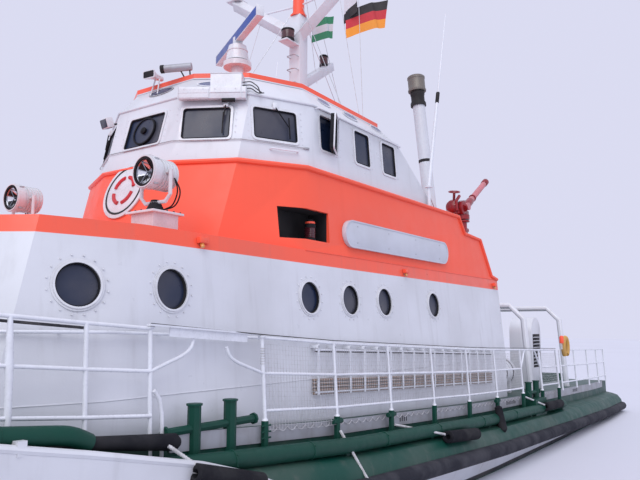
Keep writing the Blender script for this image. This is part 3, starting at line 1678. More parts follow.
    def wipers(self) -> None:
        """Makes the straight wipers and their motor boxes."""
        wipers = Piece("wipers", BLACK)
        for index, foot_u, foot_v, tip_u, tip_v in self.wiper_rows:
            axes = self.axes_of(self.openings[index])[0]
            wipers.use(LAMP_WHITE)
            wipers.block(axes, (0.07, 0.1, 0.05), (foot_u, foot_v + 0.03, 0.025))
            wipers.use(BLACK)
            foot = axes @ Vector((foot_u, foot_v, 0.045))
            wipers.rod(foot, axes @ Vector((tip_u, tip_v, 0.035)), 0.011, 0.007, sides=8)
            wipers.block(axes, (0.016, 0.34, 0.02), (tip_u, tip_v + 0.01, 0.022))
        wipers.mirror()
        wipers.done("window_glass")

    def gutter(self) -> None:
        """Makes the gutter under the roof, both bent handles and the wire under the windows."""
        gutter = Piece("wheelhouse_gutter", WHITE_PAINT)
        z, out = WHEEL_TOP + 0.002, 0.004
        line = [(WHEEL_PLAN_TOP[0][0] + out, -0.01, z)]
        line += [(x + out, y + 0.006, z) for x, y in WHEEL_PLAN_TOP]
        gutter.tube(line, 0.02, 8)
        gutter.use(ALUMINIUM)
        wire = [WHEEL[0].at(0.5, self.wire_z, 0.018)]
        wire += [WHEEL[index].at(1.0, self.wire_z, 0.02) for index in (0, 1)]
        wire += [WHEEL[2].at(0.97, self.wire_z, 0.018)]
        gutter.tube(wire, 0.006, 6)
        gutter.block(WHEEL[2].axes(0.95, self.wire_z, 0.015), (0.09, 0.03, 0.03))
        gutter.use(RAIL_WHITE)
        for index, shares, heights, off in self.handles:
            ends = list(zip(shares, heights))
            spots = ((*ends[0], 0.0), (*ends[0], off), (*ends[1], off), (*ends[1], 0.0))
            gutter.tube(rounded([WHEEL[index].at(*spot) for spot in spots], 0.03), 0.012, 8)
        gutter.mirror()
        gutter.done("house_white")


@dataclass(frozen=True)
class RoofGear:
    """Skylights in the sloped roof, and the horn, camera, floodlight and boxes on it."""

    # Skylights. Columns: panel, share of their middle along it, height, width
    skylights: tuple[tuple[int, float, float, float], ...] = (
        (0, 0.5, 6.37, 0.5),
        (1, 0.5, 6.345, 0.66),
        (3, 0.2, 6.37, 0.34),
        (3, 0.52, 6.35, 0.42),
        (3, 0.89, 6.37, 0.36),
    )
    skylight_height: float = 0.13
    # How much wider and higher a frame is than its pane
    skylight_rim: Pair = (0.05, 0.04)
    horn_mouth: Triple = (4.02, -0.16, 6.66)
    # Sections of the horn from its back. Columns: distance from the mouth, width, height
    horn: Line = ((-0.3, 0.07, 0.07), (-0.12, 0.1, 0.09), (0.0, 0.24, 0.13))
    camera_lens: Triple = (4.02, 0.2, 6.66)
    camera_back: Triple = (3.8, 0.56, 6.69)
    # Shares of the tube's length where its legs are
    camera_legs: Pair = (0.6, 0.93)
    floodlight: Triple = (4.24, 0.92, 5.94)
    floodlight_foot: Triple = (3.98, 0.78, 5.98)
    # Blocks of the equipment box, in axes along the edge that it stands on. Columns: middle, size
    box_trim: tuple[Span, ...] = (
        ((0.6, 0.03, 6.405), (0.47, 0.29, 0.014)),
        ((0.14, -0.151, 6.09), (0.44, 0.008, 0.13)),
        ((0.405, -0.152, 6.1), (1.0, 0.012, 0.012)),
        ((-0.088, -0.152, 6.1), (0.012, 0.014, 0.18)),
        ((0.37, -0.152, 6.1), (0.012, 0.014, 0.18)),
        ((0.83, -0.152, 6.1), (0.012, 0.014, 0.18)),
    )
    box_screws: tuple[float, ...] = (0.0, 0.28, 0.45, 0.75)
    cables: int = 3

    def build(self) -> None:
        """Makes and dresses the roof's pieces."""
        dress("wheelhouse_roof", ROOF_PAINT)
        dress("roof_equipment_box", LAMP_WHITE, 0.01)
        self.make_skylights()
        self.camera_and_horn()
        self.floodlights()
        self.cable_box()

    def make_skylights(self) -> None:
        """Makes the small panes in the roof's slopes."""
        lights = Piece("roof_skylights", LAMP_WHITE)
        height = self.skylight_height
        for index, share, z, width in self.skylights:
            axes = ROOF[index].axes(share, z)
            inner = self.lens(width, height)
            lights.use(LAMP_WHITE)
            outer = self.lens(width + self.skylight_rim[0], height + self.skylight_rim[1])
            lights.hoop(axes, outer, inner, -0.004, 0.014)
            lights.use(SKY_GLASS)
            lights.plate(axes, inner, -0.003, 0.008)
        lights.mirror()
        lights.done("house_white")

    def lens(self, width: float, height: float, count: int = 16) -> Outline:
        """Returns an oval outline that starts at one end."""
        turns = [math.pi * k / count for k in range(2 * count)]
        return [(width / 2 * math.cos(t), height / 2 * math.sin(t)) for t in turns]

    def camera_and_horn(self) -> None:
        """Makes the horn and the camera tube, each on its two legs."""
        gear = Piece("horn_and_camera", LAMP_WHITE)
        x, y, z = self.horn_mouth
        mouth = frame_of(self.horn_mouth, (1, 0.1, -0.05), TO_PORT)
        sections = [(soft_box(wide, high, 0.02, 3), back) for back, wide, high in self.horn]
        gear.loft([ring_of(mouth, outline, back) for outline, back in sections])
        gear.use(BLACK)
        gear.plate(mouth, soft_box(0.21, 0.1, 0.018, 3), -0.01, 0.003)
        gear.use(LAMP_WHITE)
        for side in (-1, 1):
            foot = (x - 0.12, y + 0.08 * side, ROOF_TOP - 0.12)
            gear.rod((x - 0.18, y + 0.05 * side, z - 0.03), foot, 0.012, sides=10)
        tube, back = Vector(self.camera_lens), Vector(self.camera_back)
        gear.use(ALUMINIUM)
        gear.rod(tube, back, 0.06, sides=24)
        gear.use(BLACK)
        gear.rod(tube + (tube - back) * 0.14, tube, 0.064, sides=24)
        for share in self.camera_legs:
            top = tube.lerp(back, share)
            gear.rod(top - UP * 0.05, (back.x, top.y, ROOF_TOP + 0.06), 0.011, sides=10)
        gear.done("lamp_white")

    def floodlights(self) -> None:
        """Makes the floodlight beside the starboard front window."""
        lights = Piece("floodlights", LAMP_WHITE)
        spot = Vector(self.floodlight)
        axes = frame_of(spot, (1, 0.15, -0.35))
        lights.block(axes, (0.16, 0.2, 0.12), (0, 0, -0.06))
        lights.use(GLASS)
        lights.block(axes, (0.13, 0.17, 0.012), (0, 0, 0.003))
        lights.use(BLACK)
        lights.rod(spot - AHEAD * 0.05, self.floodlight_foot, 0.014, sides=8)
        lights.cross_over()
        lights.done("lamp_white")

    def cable_box(self) -> None:
        """Makes the lid, tray and cables of the equipment box."""
        tray = Piece("equipment_box_tray", LAMP_WHITE)
        start, end = WHEEL[1].top_a, WHEEL[1].top_b
        axes = frame_of((start.x, start.y, 0.0), UP, end - start)
        for middle, size in self.box_trim:
            tray.block(axes, size, middle)
        tray.use(STEEL)
        for place in self.box_screws:
            spots = [axes @ Vector((place, y, 6.155)) for y in (-0.158, -0.165)]
            tray.rod(*spots, 0.007, sides=6)
        tray.use(BLACK)
        tray.rod(axes @ Vector((0.55, -0.13, 5.99)), axes @ Vector((0.74, -0.13, 5.99)), 0.03)
        tray.use(DARK_ROPE)
        for k in range(self.cables):
            z = 6.3 - 0.05 * k
            line = [(0.83, 0, z), (0.95, 0, z + 0.01), (1.06, -0.02, z - 0.08)]
            line.append((1.08 + 0.03 * k, 0.02, 6.14))
            tray.tube(rounded([axes @ Vector(point) for point in line], 0.04), 0.008, 8)
        tray.done("lamp_white")


@dataclass(frozen=True)
class Searchlights:
    """Both searchlights: bolted flange, boot, cables and lamp."""

    x: float = 5.2
    y: float = 1.45
    top: float = 4.14
    axis: float = 4.63
    bolt_reach: float = 0.215
    bolts_a_side: int = 5
    boot_folds: int = 5
    # A cable's corners, seen from the pan axis. Columns: aft, outboard, height over the box
    cable: Line = (
        (0.1, 0.22, 0.43), (0.19, 0.2, 0.29), (0.17, 0.13, 0.1), (0.09, 0.05, 0.05),
    )
    # How much further aft the middle corners of each cable are
    cable_steps: Pair = (0.0, 0.05)
    # Bowl of the reflector, closed round its outside. Columns: radius, distance ahead of the tilt axis
    bowl: Profile = (
        (0.1, 0.064), (0.166, 0.068), (0.166, 0.185), (0.16, 0.18),
        (0.15, 0.15), (0.11, 0.1), (0.05, 0.072), (0.02, 0.068),
    )
    bulb: Profile = ((0.02, 0.07), (0.022, 0.12), (0.012, 0.14))
    back_cap: Profile = ((0.17, -0.2), (0.16, -0.215), (0.1, -0.235), (0.04, -0.24))
    struts: int = 3
    facets: int = 10
    # Edges of a facet as shares of its part of the circle, and its rims as radius and distance
    facet_shares: Triple = (0.08, 0.5, 0.92)
    facet_rims: tuple[Pair, Pair] = ((0.152, 0.163), (0.06, 0.085))
    fins: int = 5
    clip_angles: tuple[float, ...] = (0.8, 2.3, 3.9, 5.5)
    # Where the clips are. Columns: radius, distance ahead
    clip_circle: Pair = (0.214, 0.13)

    def build(self) -> None:
        """Makes and dresses both searchlights."""
        for side in Side:
            dress(f"searchlight_box_{side.word}", LAMP_WHITE, 0.004)
            dress(f"searchlight_yoke_{side.word}", LAMP_WHITE)
            dress(f"searchlight_lamp_{side.word}", LAMP_WHITE)
            self.fixed(side)
            self.panning(side)
            self.tilting(side)

    def fixed(self, side: Side) -> None:
        """Makes the flange bolts.

        Args:
            side: The searchlight's side.
        """
        bolts = Piece(f"searchlight_bolts_{side.word}", BLACK)
        reach = self.bolt_reach
        middle = side.place((self.x, self.y, self.top - 0.002))
        for k in range(self.bolts_a_side):
            step = -reach + 2 * reach * k / (self.bolts_a_side - 1)
            for u, v in ((step, reach), (step, -reach), (reach, step), (-reach, step)):
                foot = middle + Vector((u, v, 0))
                bolts.rod(foot, foot + UP * 0.02, 0.014, 0.01, sides=6)
        bolts.done("lamp_white")

    def panning(self, side: Side) -> None:
        """Makes the black boot and the cables, which turn with the yoke.

        Args:
            side: The searchlight's side.
        """
        boot = Piece(f"searchlight_boot_{side.word}", RUBBER)
        profile = [(0.13, 0.0), (0.135, 0.012)]
        for k in range(self.boot_folds):
            inward, rise = k * 0.013, k * 0.026
            profile += [(0.122 - inward, 0.018 + rise), (0.11 - inward, 0.034 + rise)]
        profile += [(0.055, 0.155), (0.04, 0.16)]
        boot.turned(upright(side.place((self.x, self.y, self.top + 0.004))), profile)
        for step in self.cable_steps:
            corners = []
            for index, (aft, out, over) in enumerate(self.cable):
                further = step if index in (1, 2) else 0.0
                corners.append(side.place((self.x - aft - further, self.y + out, self.top + over)))
            boot.tube(rounded(corners, 0.1), 0.009, 8)
        boot.done("lamp_white", body=f"searchlight_yoke_{side.word}")

    def tilting(self, side: Side) -> None:
        """Makes the reflector, bulb, rims, fins and clips of the lamp.

        Args:
            side: The searchlight's side.
        """
        lamp = Piece(f"searchlight_optics_{side.word}", MIRROR)
        axes = frame_of(side.place((self.x, self.y, self.axis)), AHEAD)
        lamp.turned(axes, self.bowl, 36)
        lamp.turned(axes, self.bulb, 16)
        for rim in around(self.struts, 0.16, 0.17, start=0.5):
            lamp.rod(axes @ rim, axes @ Vector((0, 0, 0.14)), 0.008, sides=6)
        for k in range(self.facets):
            lamp.use(BRIGHT_MIRROR if k % 2 == 0 else BLACK)
            self.facet(lamp, axes, k)
        lamp.use(RUBBER)
        lamp.collar(axes, 0.186, 0.156, 0.18, 0.2)
        lamp.use(LAMP_WHITE)
        lamp.collar(axes, 0.2, 0.186, 0.18, 0.206)
        for k in range(self.fins):
            back = -0.18 + 0.05 * k
            lamp.collar(axes, 0.199, 0.187, back, back + 0.012)
        lamp.turned(axes, self.back_cap, 36)
        lamp.use(STEEL)
        radius, ahead = self.clip_circle
        for turn in self.clip_angles:
            clip = axes @ Vector((radius * math.cos(turn), radius * math.sin(turn), ahead))
            lamp.block(upright(clip), (0.07, 0.025, 0.025))
        lamp.done("lamp_white", body=f"searchlight_lamp_{side.word}")

    def facet(self, lamp: Piece, axes: Matrix, index: int) -> None:
        """Adds one facet of the reflector.

        Args:
            lamp: The piece that takes it.
            axes: The lamp's axes.
            index: Its number round the reflector.
        """
        turns = [2 * math.pi * (index + share) / self.facets for share in self.facet_shares]
        points = []
        for (radius, ahead), angles in zip(self.facet_rims, (turns, turns[::-1])):
            points += [axes @ Vector((radius * math.cos(t), radius * math.sin(t), ahead)) for t in angles]
        lamp.add(points, [[0, 1, 4, 5], [1, 2, 3, 4]])


@dataclass(frozen=True)
class Monitor:
    """Fire monitor with its flanges, handwheel, casing and levers."""

    # Where its pan axis meets its elevation axis
    middle: Triple = (-3.2, 1.93, 5.39)
    elbow: float = 0.09
    tilt: float = math.radians(32.0)
    flange_zs: Pair = (4.72, 5.06)
    # Profiles. Columns: radius, height along the axis
    flange: Profile = ((0.14, 0.0), (0.148, 0.006), (0.148, 0.03), (0.14, 0.036))
    boss: Profile = ((0.1, 0.0), (0.105, 0.008), (0.105, 0.03), (0.1, 0.036))
    drum: Profile = ((0.12, -0.02), (0.15, 0.0), (0.15, 0.07), (0.1, 0.09), (0.05, 0.1))
    casing: Profile = (
        (0.06, 0.0), (0.12, 0.03), (0.15, 0.1), (0.15, 0.48), (0.13, 0.56), (0.08, 0.6), (0.05, 0.68),
    )
    rib: Profile = ((0.14, -0.025), (0.165, -0.015), (0.165, 0.015), (0.14, 0.025))
    elbow_collar: Profile = ((0.08, 0.0), (0.088, 0.02), (0.088, 0.4), (0.08, 0.42))
    sleeve: Profile = ((0.05, 0.0), (0.066, 0.02), (0.064, 0.83), (0.05, 0.84))
    muzzle: Profile = ((0.07, 0.0), (0.078, 0.012), (0.078, 0.15), (0.06, 0.16), (0.052, 0.12))
    rib_places: Triple = (0.14, 0.3, 0.44)
    barrel_places: tuple[float, ...] = (-0.1, 0.47, 0.5, 1.335)
    flange_bolts: int = 8
    spokes: int = 4
    # Castings of the body. Columns: middle seen from the axes' crossing, size
    castings: tuple[Span, ...] = (
        ((0.13, -0.07, -0.08), (0.26, 0.2, 0.16)),
        ((-0.02, -0.02, -0.12), (0.18, 0.24, 0.1)),
    )
    # Corners of its pipes and handles, seen from there
    water_pipe: Line = ((0.3, 0.0, -0.1), (0.34, 0.0, 0.1), (0.16, 0.0, 0.24))
    steel_pipe: Line = ((0.36, -0.02, 0.02), (0.16, -0.02, 0.13), (-0.26, -0.02, 0.2))
    grip: Line = ((-0.34, -0.14, 0.02), (-0.5, -0.12, 0.05), (-0.54, -0.12, -0.12))
    lever: Line = ((-0.1, 0.0, -0.1), (-0.34, 0.0, -0.04), (-0.34, 0.0, -0.18))

    def build(self) -> None:
        """Makes and dresses the monitor."""
        dress("monitor_base", RED_ENAMEL)
        dress("monitor_body", RED_ENAMEL)
        dress("monitor_barrel", FADED_RED)
        self.base_gear()
        self.body_gear()
        self.barrel_gear()

    def spot(self, point: Place) -> Vector:
        """Returns a place that is given from the crossing of the axes."""
        return Vector(self.middle) + Vector(point)

    def base_gear(self) -> None:
        """Makes the base's bolted flanges and valve."""
        base = Piece("monitor_base_flanges", RED_ENAMEL)
        x, y, z = self.middle
        for height in self.flange_zs:
            axes = upright((x, y, height))
            base.turned(axes, self.flange)
            for bolt in around(self.flange_bolts, 0.122, 0.03):
                base.rod(axes @ bolt, axes @ (bolt + UP * 0.022), 0.013, sides=6)
        base.rod((x, y, z - 0.49), (x - 0.2, y, z - 0.49), 0.06)
        base.done("monitor_red")

    def body_gear(self) -> None:
        """Makes the handwheel, casing, drum, pipes and handles on the panning body."""
        body = Piece("monitor_body_gear", RED_ENAMEL)
        wheel = frame_of(self.spot((0.2, -0.1, 0.34)), (0.3, 0.2, 1))
        body.tube(ring_of(wheel, circle(0.12, 28), 0.0), 0.014, 8, closed=True)
        hub = wheel @ Vector()
        for end in around(self.spokes, 0.115):
            body.rod(hub, wheel @ end, 0.007, sides=6)
        body.rod(wheel @ Vector((0, 0, 0.01)), wheel @ Vector((0, 0, -0.24)), 0.03, sides=10)
        body.turned(frame_of(self.spot((self.elbow, -0.16, 0.0)), TO_PORT), self.boss)
        for middle, size in self.castings:
            body.block(upright(self.spot(middle)), size)
        body.turned(frame_of(self.spot((0.12, 0.02, -0.02)), TO_PORT), self.drum)
        casing = frame_of(self.spot((0.34, -0.14, 0.01)), (-1, 0, -0.05))
        body.turned(casing, self.casing, 24)
        for place in self.rib_places:
            body.turned(casing @ Matrix.Translation((0, 0, place)), self.rib, 24)
        near, bend, end = (self.spot(point) for point in self.grip)
        body.rod(near, bend, 0.016, sides=8)
        body.rod(bend, end, 0.014, sides=8)
        body.tube([self.spot(point) for point in self.water_pipe], 0.035, 12)
        body.use(STEEL)
        body.tube(rounded([self.spot(point) for point in self.steel_pipe], 0.1), 0.014, 8)
        near, bend, end = (self.spot(point) for point in self.lever)
        body.rod(near, bend, 0.01, sides=8)
        body.rod(bend, end, 0.01, sides=8)
        body.done("monitor_red", body="monitor_body")

    def barrel_gear(self) -> None:
        """Makes the barrel's dark collars and the faded sleeve between them."""
        along = Vector((-math.cos(self.tilt), 0, math.sin(self.tilt)))
        barrel = frame_of(self.spot((self.elbow, 0.11, 0.0)), along)
        places = [barrel @ Matrix.Translation((0, 0, at)) for at in self.barrel_places]
        elbow, neck, sleeve, muzzle = places
        gear = Piece("monitor_barrel_collars", RED_ENAMEL)
        gear.turned(elbow, self.elbow_collar)
        gear.turned(muzzle, self.muzzle)
        gear.collar(neck, 0.085, 0.06, 0.0, 0.03, 28)
        gear.use(FADED_RED)
        gear.turned(sleeve, self.sleeve)
        gear.done("monitor_red", body="monitor_barrel")


@dataclass(frozen=True)
class MastGear:
    """Mast, arms, lamps, radar, vent pipes, stays and flags."""

    x: float = 0.35
    scanner: Triple = (2.16, 0.0, 7.89)
    rest: float = math.radians(60.0)
    # Lanterns. Columns: x, y, z, radius
    lanterns: tuple[tuple[float, ...], ...] = ((0.7, 0.0, 8.36, 0.132), (-0.55, 0.0, 8.24, 0.092))
    arm_top: float = 9.81
    # Aerials. Columns: y, height of the tip over the arm
    aerials: Profile = ((1.7, 1.35), (1.45, 0.5))
    dome: Profile = ((0.06, 0.0), (0.075, 0.02), (0.07, 0.1), (0.03, 0.14))
    steps: int = 6
    step_pitch: float = 0.28
    # Corners of a step. Columns: ahead of the mast, y
    step_line: Profile = ((0.13, 0.1), (0.26, 0.1), (0.26, -0.1), (0.13, -0.1))
    # Profiles. Columns: radius, height
    gearbox_seam: Profile = ((0.17, 0.0), (0.186, 0.008), (0.184, 0.03), (0.16, 0.036))
    pipe_sleeve: Profile = (
        (0.13, -0.33), (0.165, -0.33), (0.165, -0.27), (0.142, -0.22),
        (0.142, -0.1), (0.152, -0.08), (0.152, -0.02), (0.13, 0.0),
    )
    pipe_cap: Profile = (
        (0.12, -0.005), (0.19, -0.004), (0.194, 0.03), (0.18, 0.05), (0.18, 0.27),
        (0.188, 0.28), (0.188, 0.32), (0.16, 0.345), (0.04, 0.35),
    )
    pipe_clamp: Profile = ((0.131, 0.0), (0.134, 0.01), (0.134, 0.05), (0.131, 0.06))
    pipe_foot: Triple = (-1.85, 1.8, 5.08)
    pipe_neck: Triple = (-1.85, 1.54, 7.76)
    pipe_top: Triple = (-1.85, 1.515, 8.09)
    # Taut wires, then halyards. Columns: from, to
    taut: tuple[Span, ...] = (
        ((0.35, 0.0, 9.25), (-3.9, 0.0, 4.0)),
        ((0.35, 0.1, 9.2), (1.2, 1.62, 6.52)),
        ((0.35, -0.1, 9.2), (1.2, -1.62, 6.52)),
    )
    halyards: tuple[Span, ...] = (
        ((0.35, 1.0, 9.16), (0.72, 1.66, 6.52)),
        ((0.35, -1.0, 9.16), (0.72, -1.66, 6.52)),
        ((0.35, 1.42, 9.45), (0.6, 1.66, 6.52)),
        ((0.35, -1.42, 9.45), (0.6, -1.66, 6.52)),
        ((0.3, 0.0, 10.5), (-0.3, 0.0, 7.8)),
        ((0.25, 0.0, 10.6), (-2.35, 0.0, 5.1)),
    )
    # Flags. Columns: name, lower corner at the hoist, from there to the fly, height, stripes upwards
    flag_rows: tuple[tuple[str, Triple, Triple, float, tuple[Finish, ...]], ...] = (
        ("flag_ensign", (0.46, 1.21, 8.2), (-0.46, 0.66, 0.27), 0.54, (CLOTH_GOLD, CLOTH_RED, CLOTH_BLACK)),
        ("flag_white", (0.4, 1.13, 8.52), (0.02, 0.34, 0.2), 0.6, (CLOTH_BLACK, CLOTH_WHITE, CLOTH_WHITE)),
        ("flag_aft", (-0.1, 0.01, 8.62), (-0.3, 0.36, 0.14), 0.48, (CLOTH_GREEN, CLOTH_WHITE, CLOTH_GREEN)),
    )
    flag_columns: int = 36
    rows_a_stripe: int = 8
    # Waves of a flag: depth as a share of its length, waves along it, lag up it
    wave: Triple = (0.09, 9.0, 1.2)
    # How it droops: depth, bends along it
    droop: Pair = (0.05, 5.0)

    def build(self) -> None:
        """Makes and dresses the mast and what it carries."""
        dress("mast", WHITE_PAINT, 0.012)
        dress("mast_top_pole", ORANGE_PAINT)
        dress("radar_pedestal", LAMP_WHITE)
        dress("radar_scanner", LAMP_WHITE, 0.03)
        for side in Side:
            dress(f"vent_pipe_{side.word}", WHITE_PAINT)
        self.lamps()
        self.arms()
        self.radar_face()
        self.gearbox_seams()
        self.pipe_tops()
        self.stays()
        for row in self.flag_rows:
            self.flag(*row)

    def lamps(self) -> None:
        """Makes the lanterns on the mast's shelves."""
        lamps = Piece("mast_lanterns", BLACK)
        for x, y, z, radius in self.lanterns:
            axes = upright((x, y, z))
            waist = radius * 0.9
            lamps.use(BLACK)
            lamps.turned(axes, ((radius, 0.0), (radius, 0.05), (waist, 0.055)))
            lamps.turned(axes, ((waist, 0.2), (radius, 0.21), (radius, 0.24), (radius * 0.4, 0.275)))
            lamps.use(MAROON)
            lamps.turned(axes, ((radius * 0.96, 0.05), (radius * 0.98, 0.125), (radius * 0.96, 0.2)))
        lamps.done("lamp_white")

    def arms(self) -> None:
        """Makes aerials on the arms, their braces and the steps up the mast."""
        arms = Piece("mast_arm_gear", RAIL_WHITE)
        for y, top in self.aerials:
            foot = Vector((self.x, y, self.arm_top))
            arms.rod(foot, foot + UP * 0.16, 0.028)
            arms.rod(foot + UP * 0.15, foot + UP * top, 0.012, 0.006, sides=8)
        arms.turned(upright((self.x + 0.1, 1.6, self.arm_top + 0.01)), self.dome)
        arms.tube([(self.x, 0.1, 9.25), (self.x, 1.0, 9.32)], 0.02, 8)
        arms.use(STEEL)
        for k in range(self.steps):
            z = 6.7 + k * self.step_pitch
            step = [(self.x + reach, y, z) for reach, y in self.step_line]
            arms.tube(rounded(step, 0.03, 3), 0.009, 6)
        arms.mirror()
        arms.done("rail_white")

    def radar_face(self) -> None:
        """Makes the scanner's blue face and its cap."""
        face = Piece("radar_face", BLUE_FACE)
        turn = Matrix.Translation(self.scanner) @ Matrix.Rotation(self.rest, 4, "Z")
        face.block(turn, (2.3, 0.006, 0.15), (0, -0.064, 0))
        face.use(LAMP_WHITE)
        face.block(turn, (0.3, 0.11, 0.02), (0, 0, 0.097))
        face.done("lamp_white", body="radar_scanner")

    def gearbox_seams(self) -> None:
        """Makes the radar gearbox's seam and the bolts of its pedestal."""
        seams = Piece("radar_gearbox_seams", LAMP_WHITE)
        x = self.scanner[0]
        seams.turned(upright((x, 0, 7.62)), self.gearbox_seam)
        for bolt in around(8, 0.2, 6.51):
            foot = bolt + AHEAD * x
            seams.rod(foot, foot + UP * 0.02, 0.013, sides=6)
        seams.done("lamp_white")

    def pipe_tops(self) -> None:
        """Makes the black sleeves, scorched caps and clamps of the vent pipes."""
        tops = Piece("vent_pipe_tops", BLACK)
        foot, neck, top = Vector(self.pipe_foot), Vector(self.pipe_neck), Vector(self.pipe_top)
        axes = frame_of(neck, top - neck)
        tops.turned(axes, self.pipe_sleeve)
        tops.use(SCORCHED_STEEL)
        tops.turned(axes, self.pipe_cap)
        tops.use(BLACK)
        way = (neck - foot).normalized()
        tops.turned(frame_of(foot + way * 1.1, way), self.pipe_clamp)
        tops.mirror()
        tops.done("house_white")

    def stays(self) -> None:
        """Makes the taut wires and halyards."""
        wires = Piece("stays", STEEL)
        for start, end in self.taut:
            wires.tube(sagging(start, end, 0.01), 0.006, 6)
        wires.use(ROPE)
        for start, end in self.halyards:
            wires.tube(sagging(start, end, 0.03), 0.005, 6)
        wires.done("rail_white")

    def flag(
        self, name: str, foot: Triple, fly: Triple, hoist: float, stripes: tuple[Finish, ...]
    ) -> None:
        """Makes one flag that flies on the wind.

        Args:
            name: The piece's name.
            foot: The lower corner at the hoist.
            fly: From there to the lower corner at the fly.
            hoist: The flag's height.
            stripes: The finishes of its level stripes, from the lowest up.
        """
        cloth = Piece(name, stripes[0])
        corner, way = Vector(foot), Vector(fly)
        columns, rows = self.flag_columns, self.rows_a_stripe * len(stripes)
        phase = random.Random(name).uniform(0, 6)
        reach, waves, lag = self.wave
        sink, bends = self.droop
        for j in range(rows + 1):
            for i in range(columns + 1):
                t, h = i / columns, j / rows
                swing = reach * way.length * math.sin(t * waves + phase + h * lag) * min(1.0, t * 3)
                drop = -sink * way.length * math.sin(t * bends + phase)
                cloth.points.append(corner + way * t + Vector((0, swing, hoist * h + drop * t)))
        for j in range(rows):
            cloth.use(stripes[j // self.rows_a_stripe])
            for i in range(columns):
                a = j * (columns + 1) + i
                cloth.faces.append([a, a + 1, a + columns + 2, a + columns + 1])
                cloth.finish_of_face.append(cloth.current)
        piece = cloth.done("rail_white", angle=80.0)


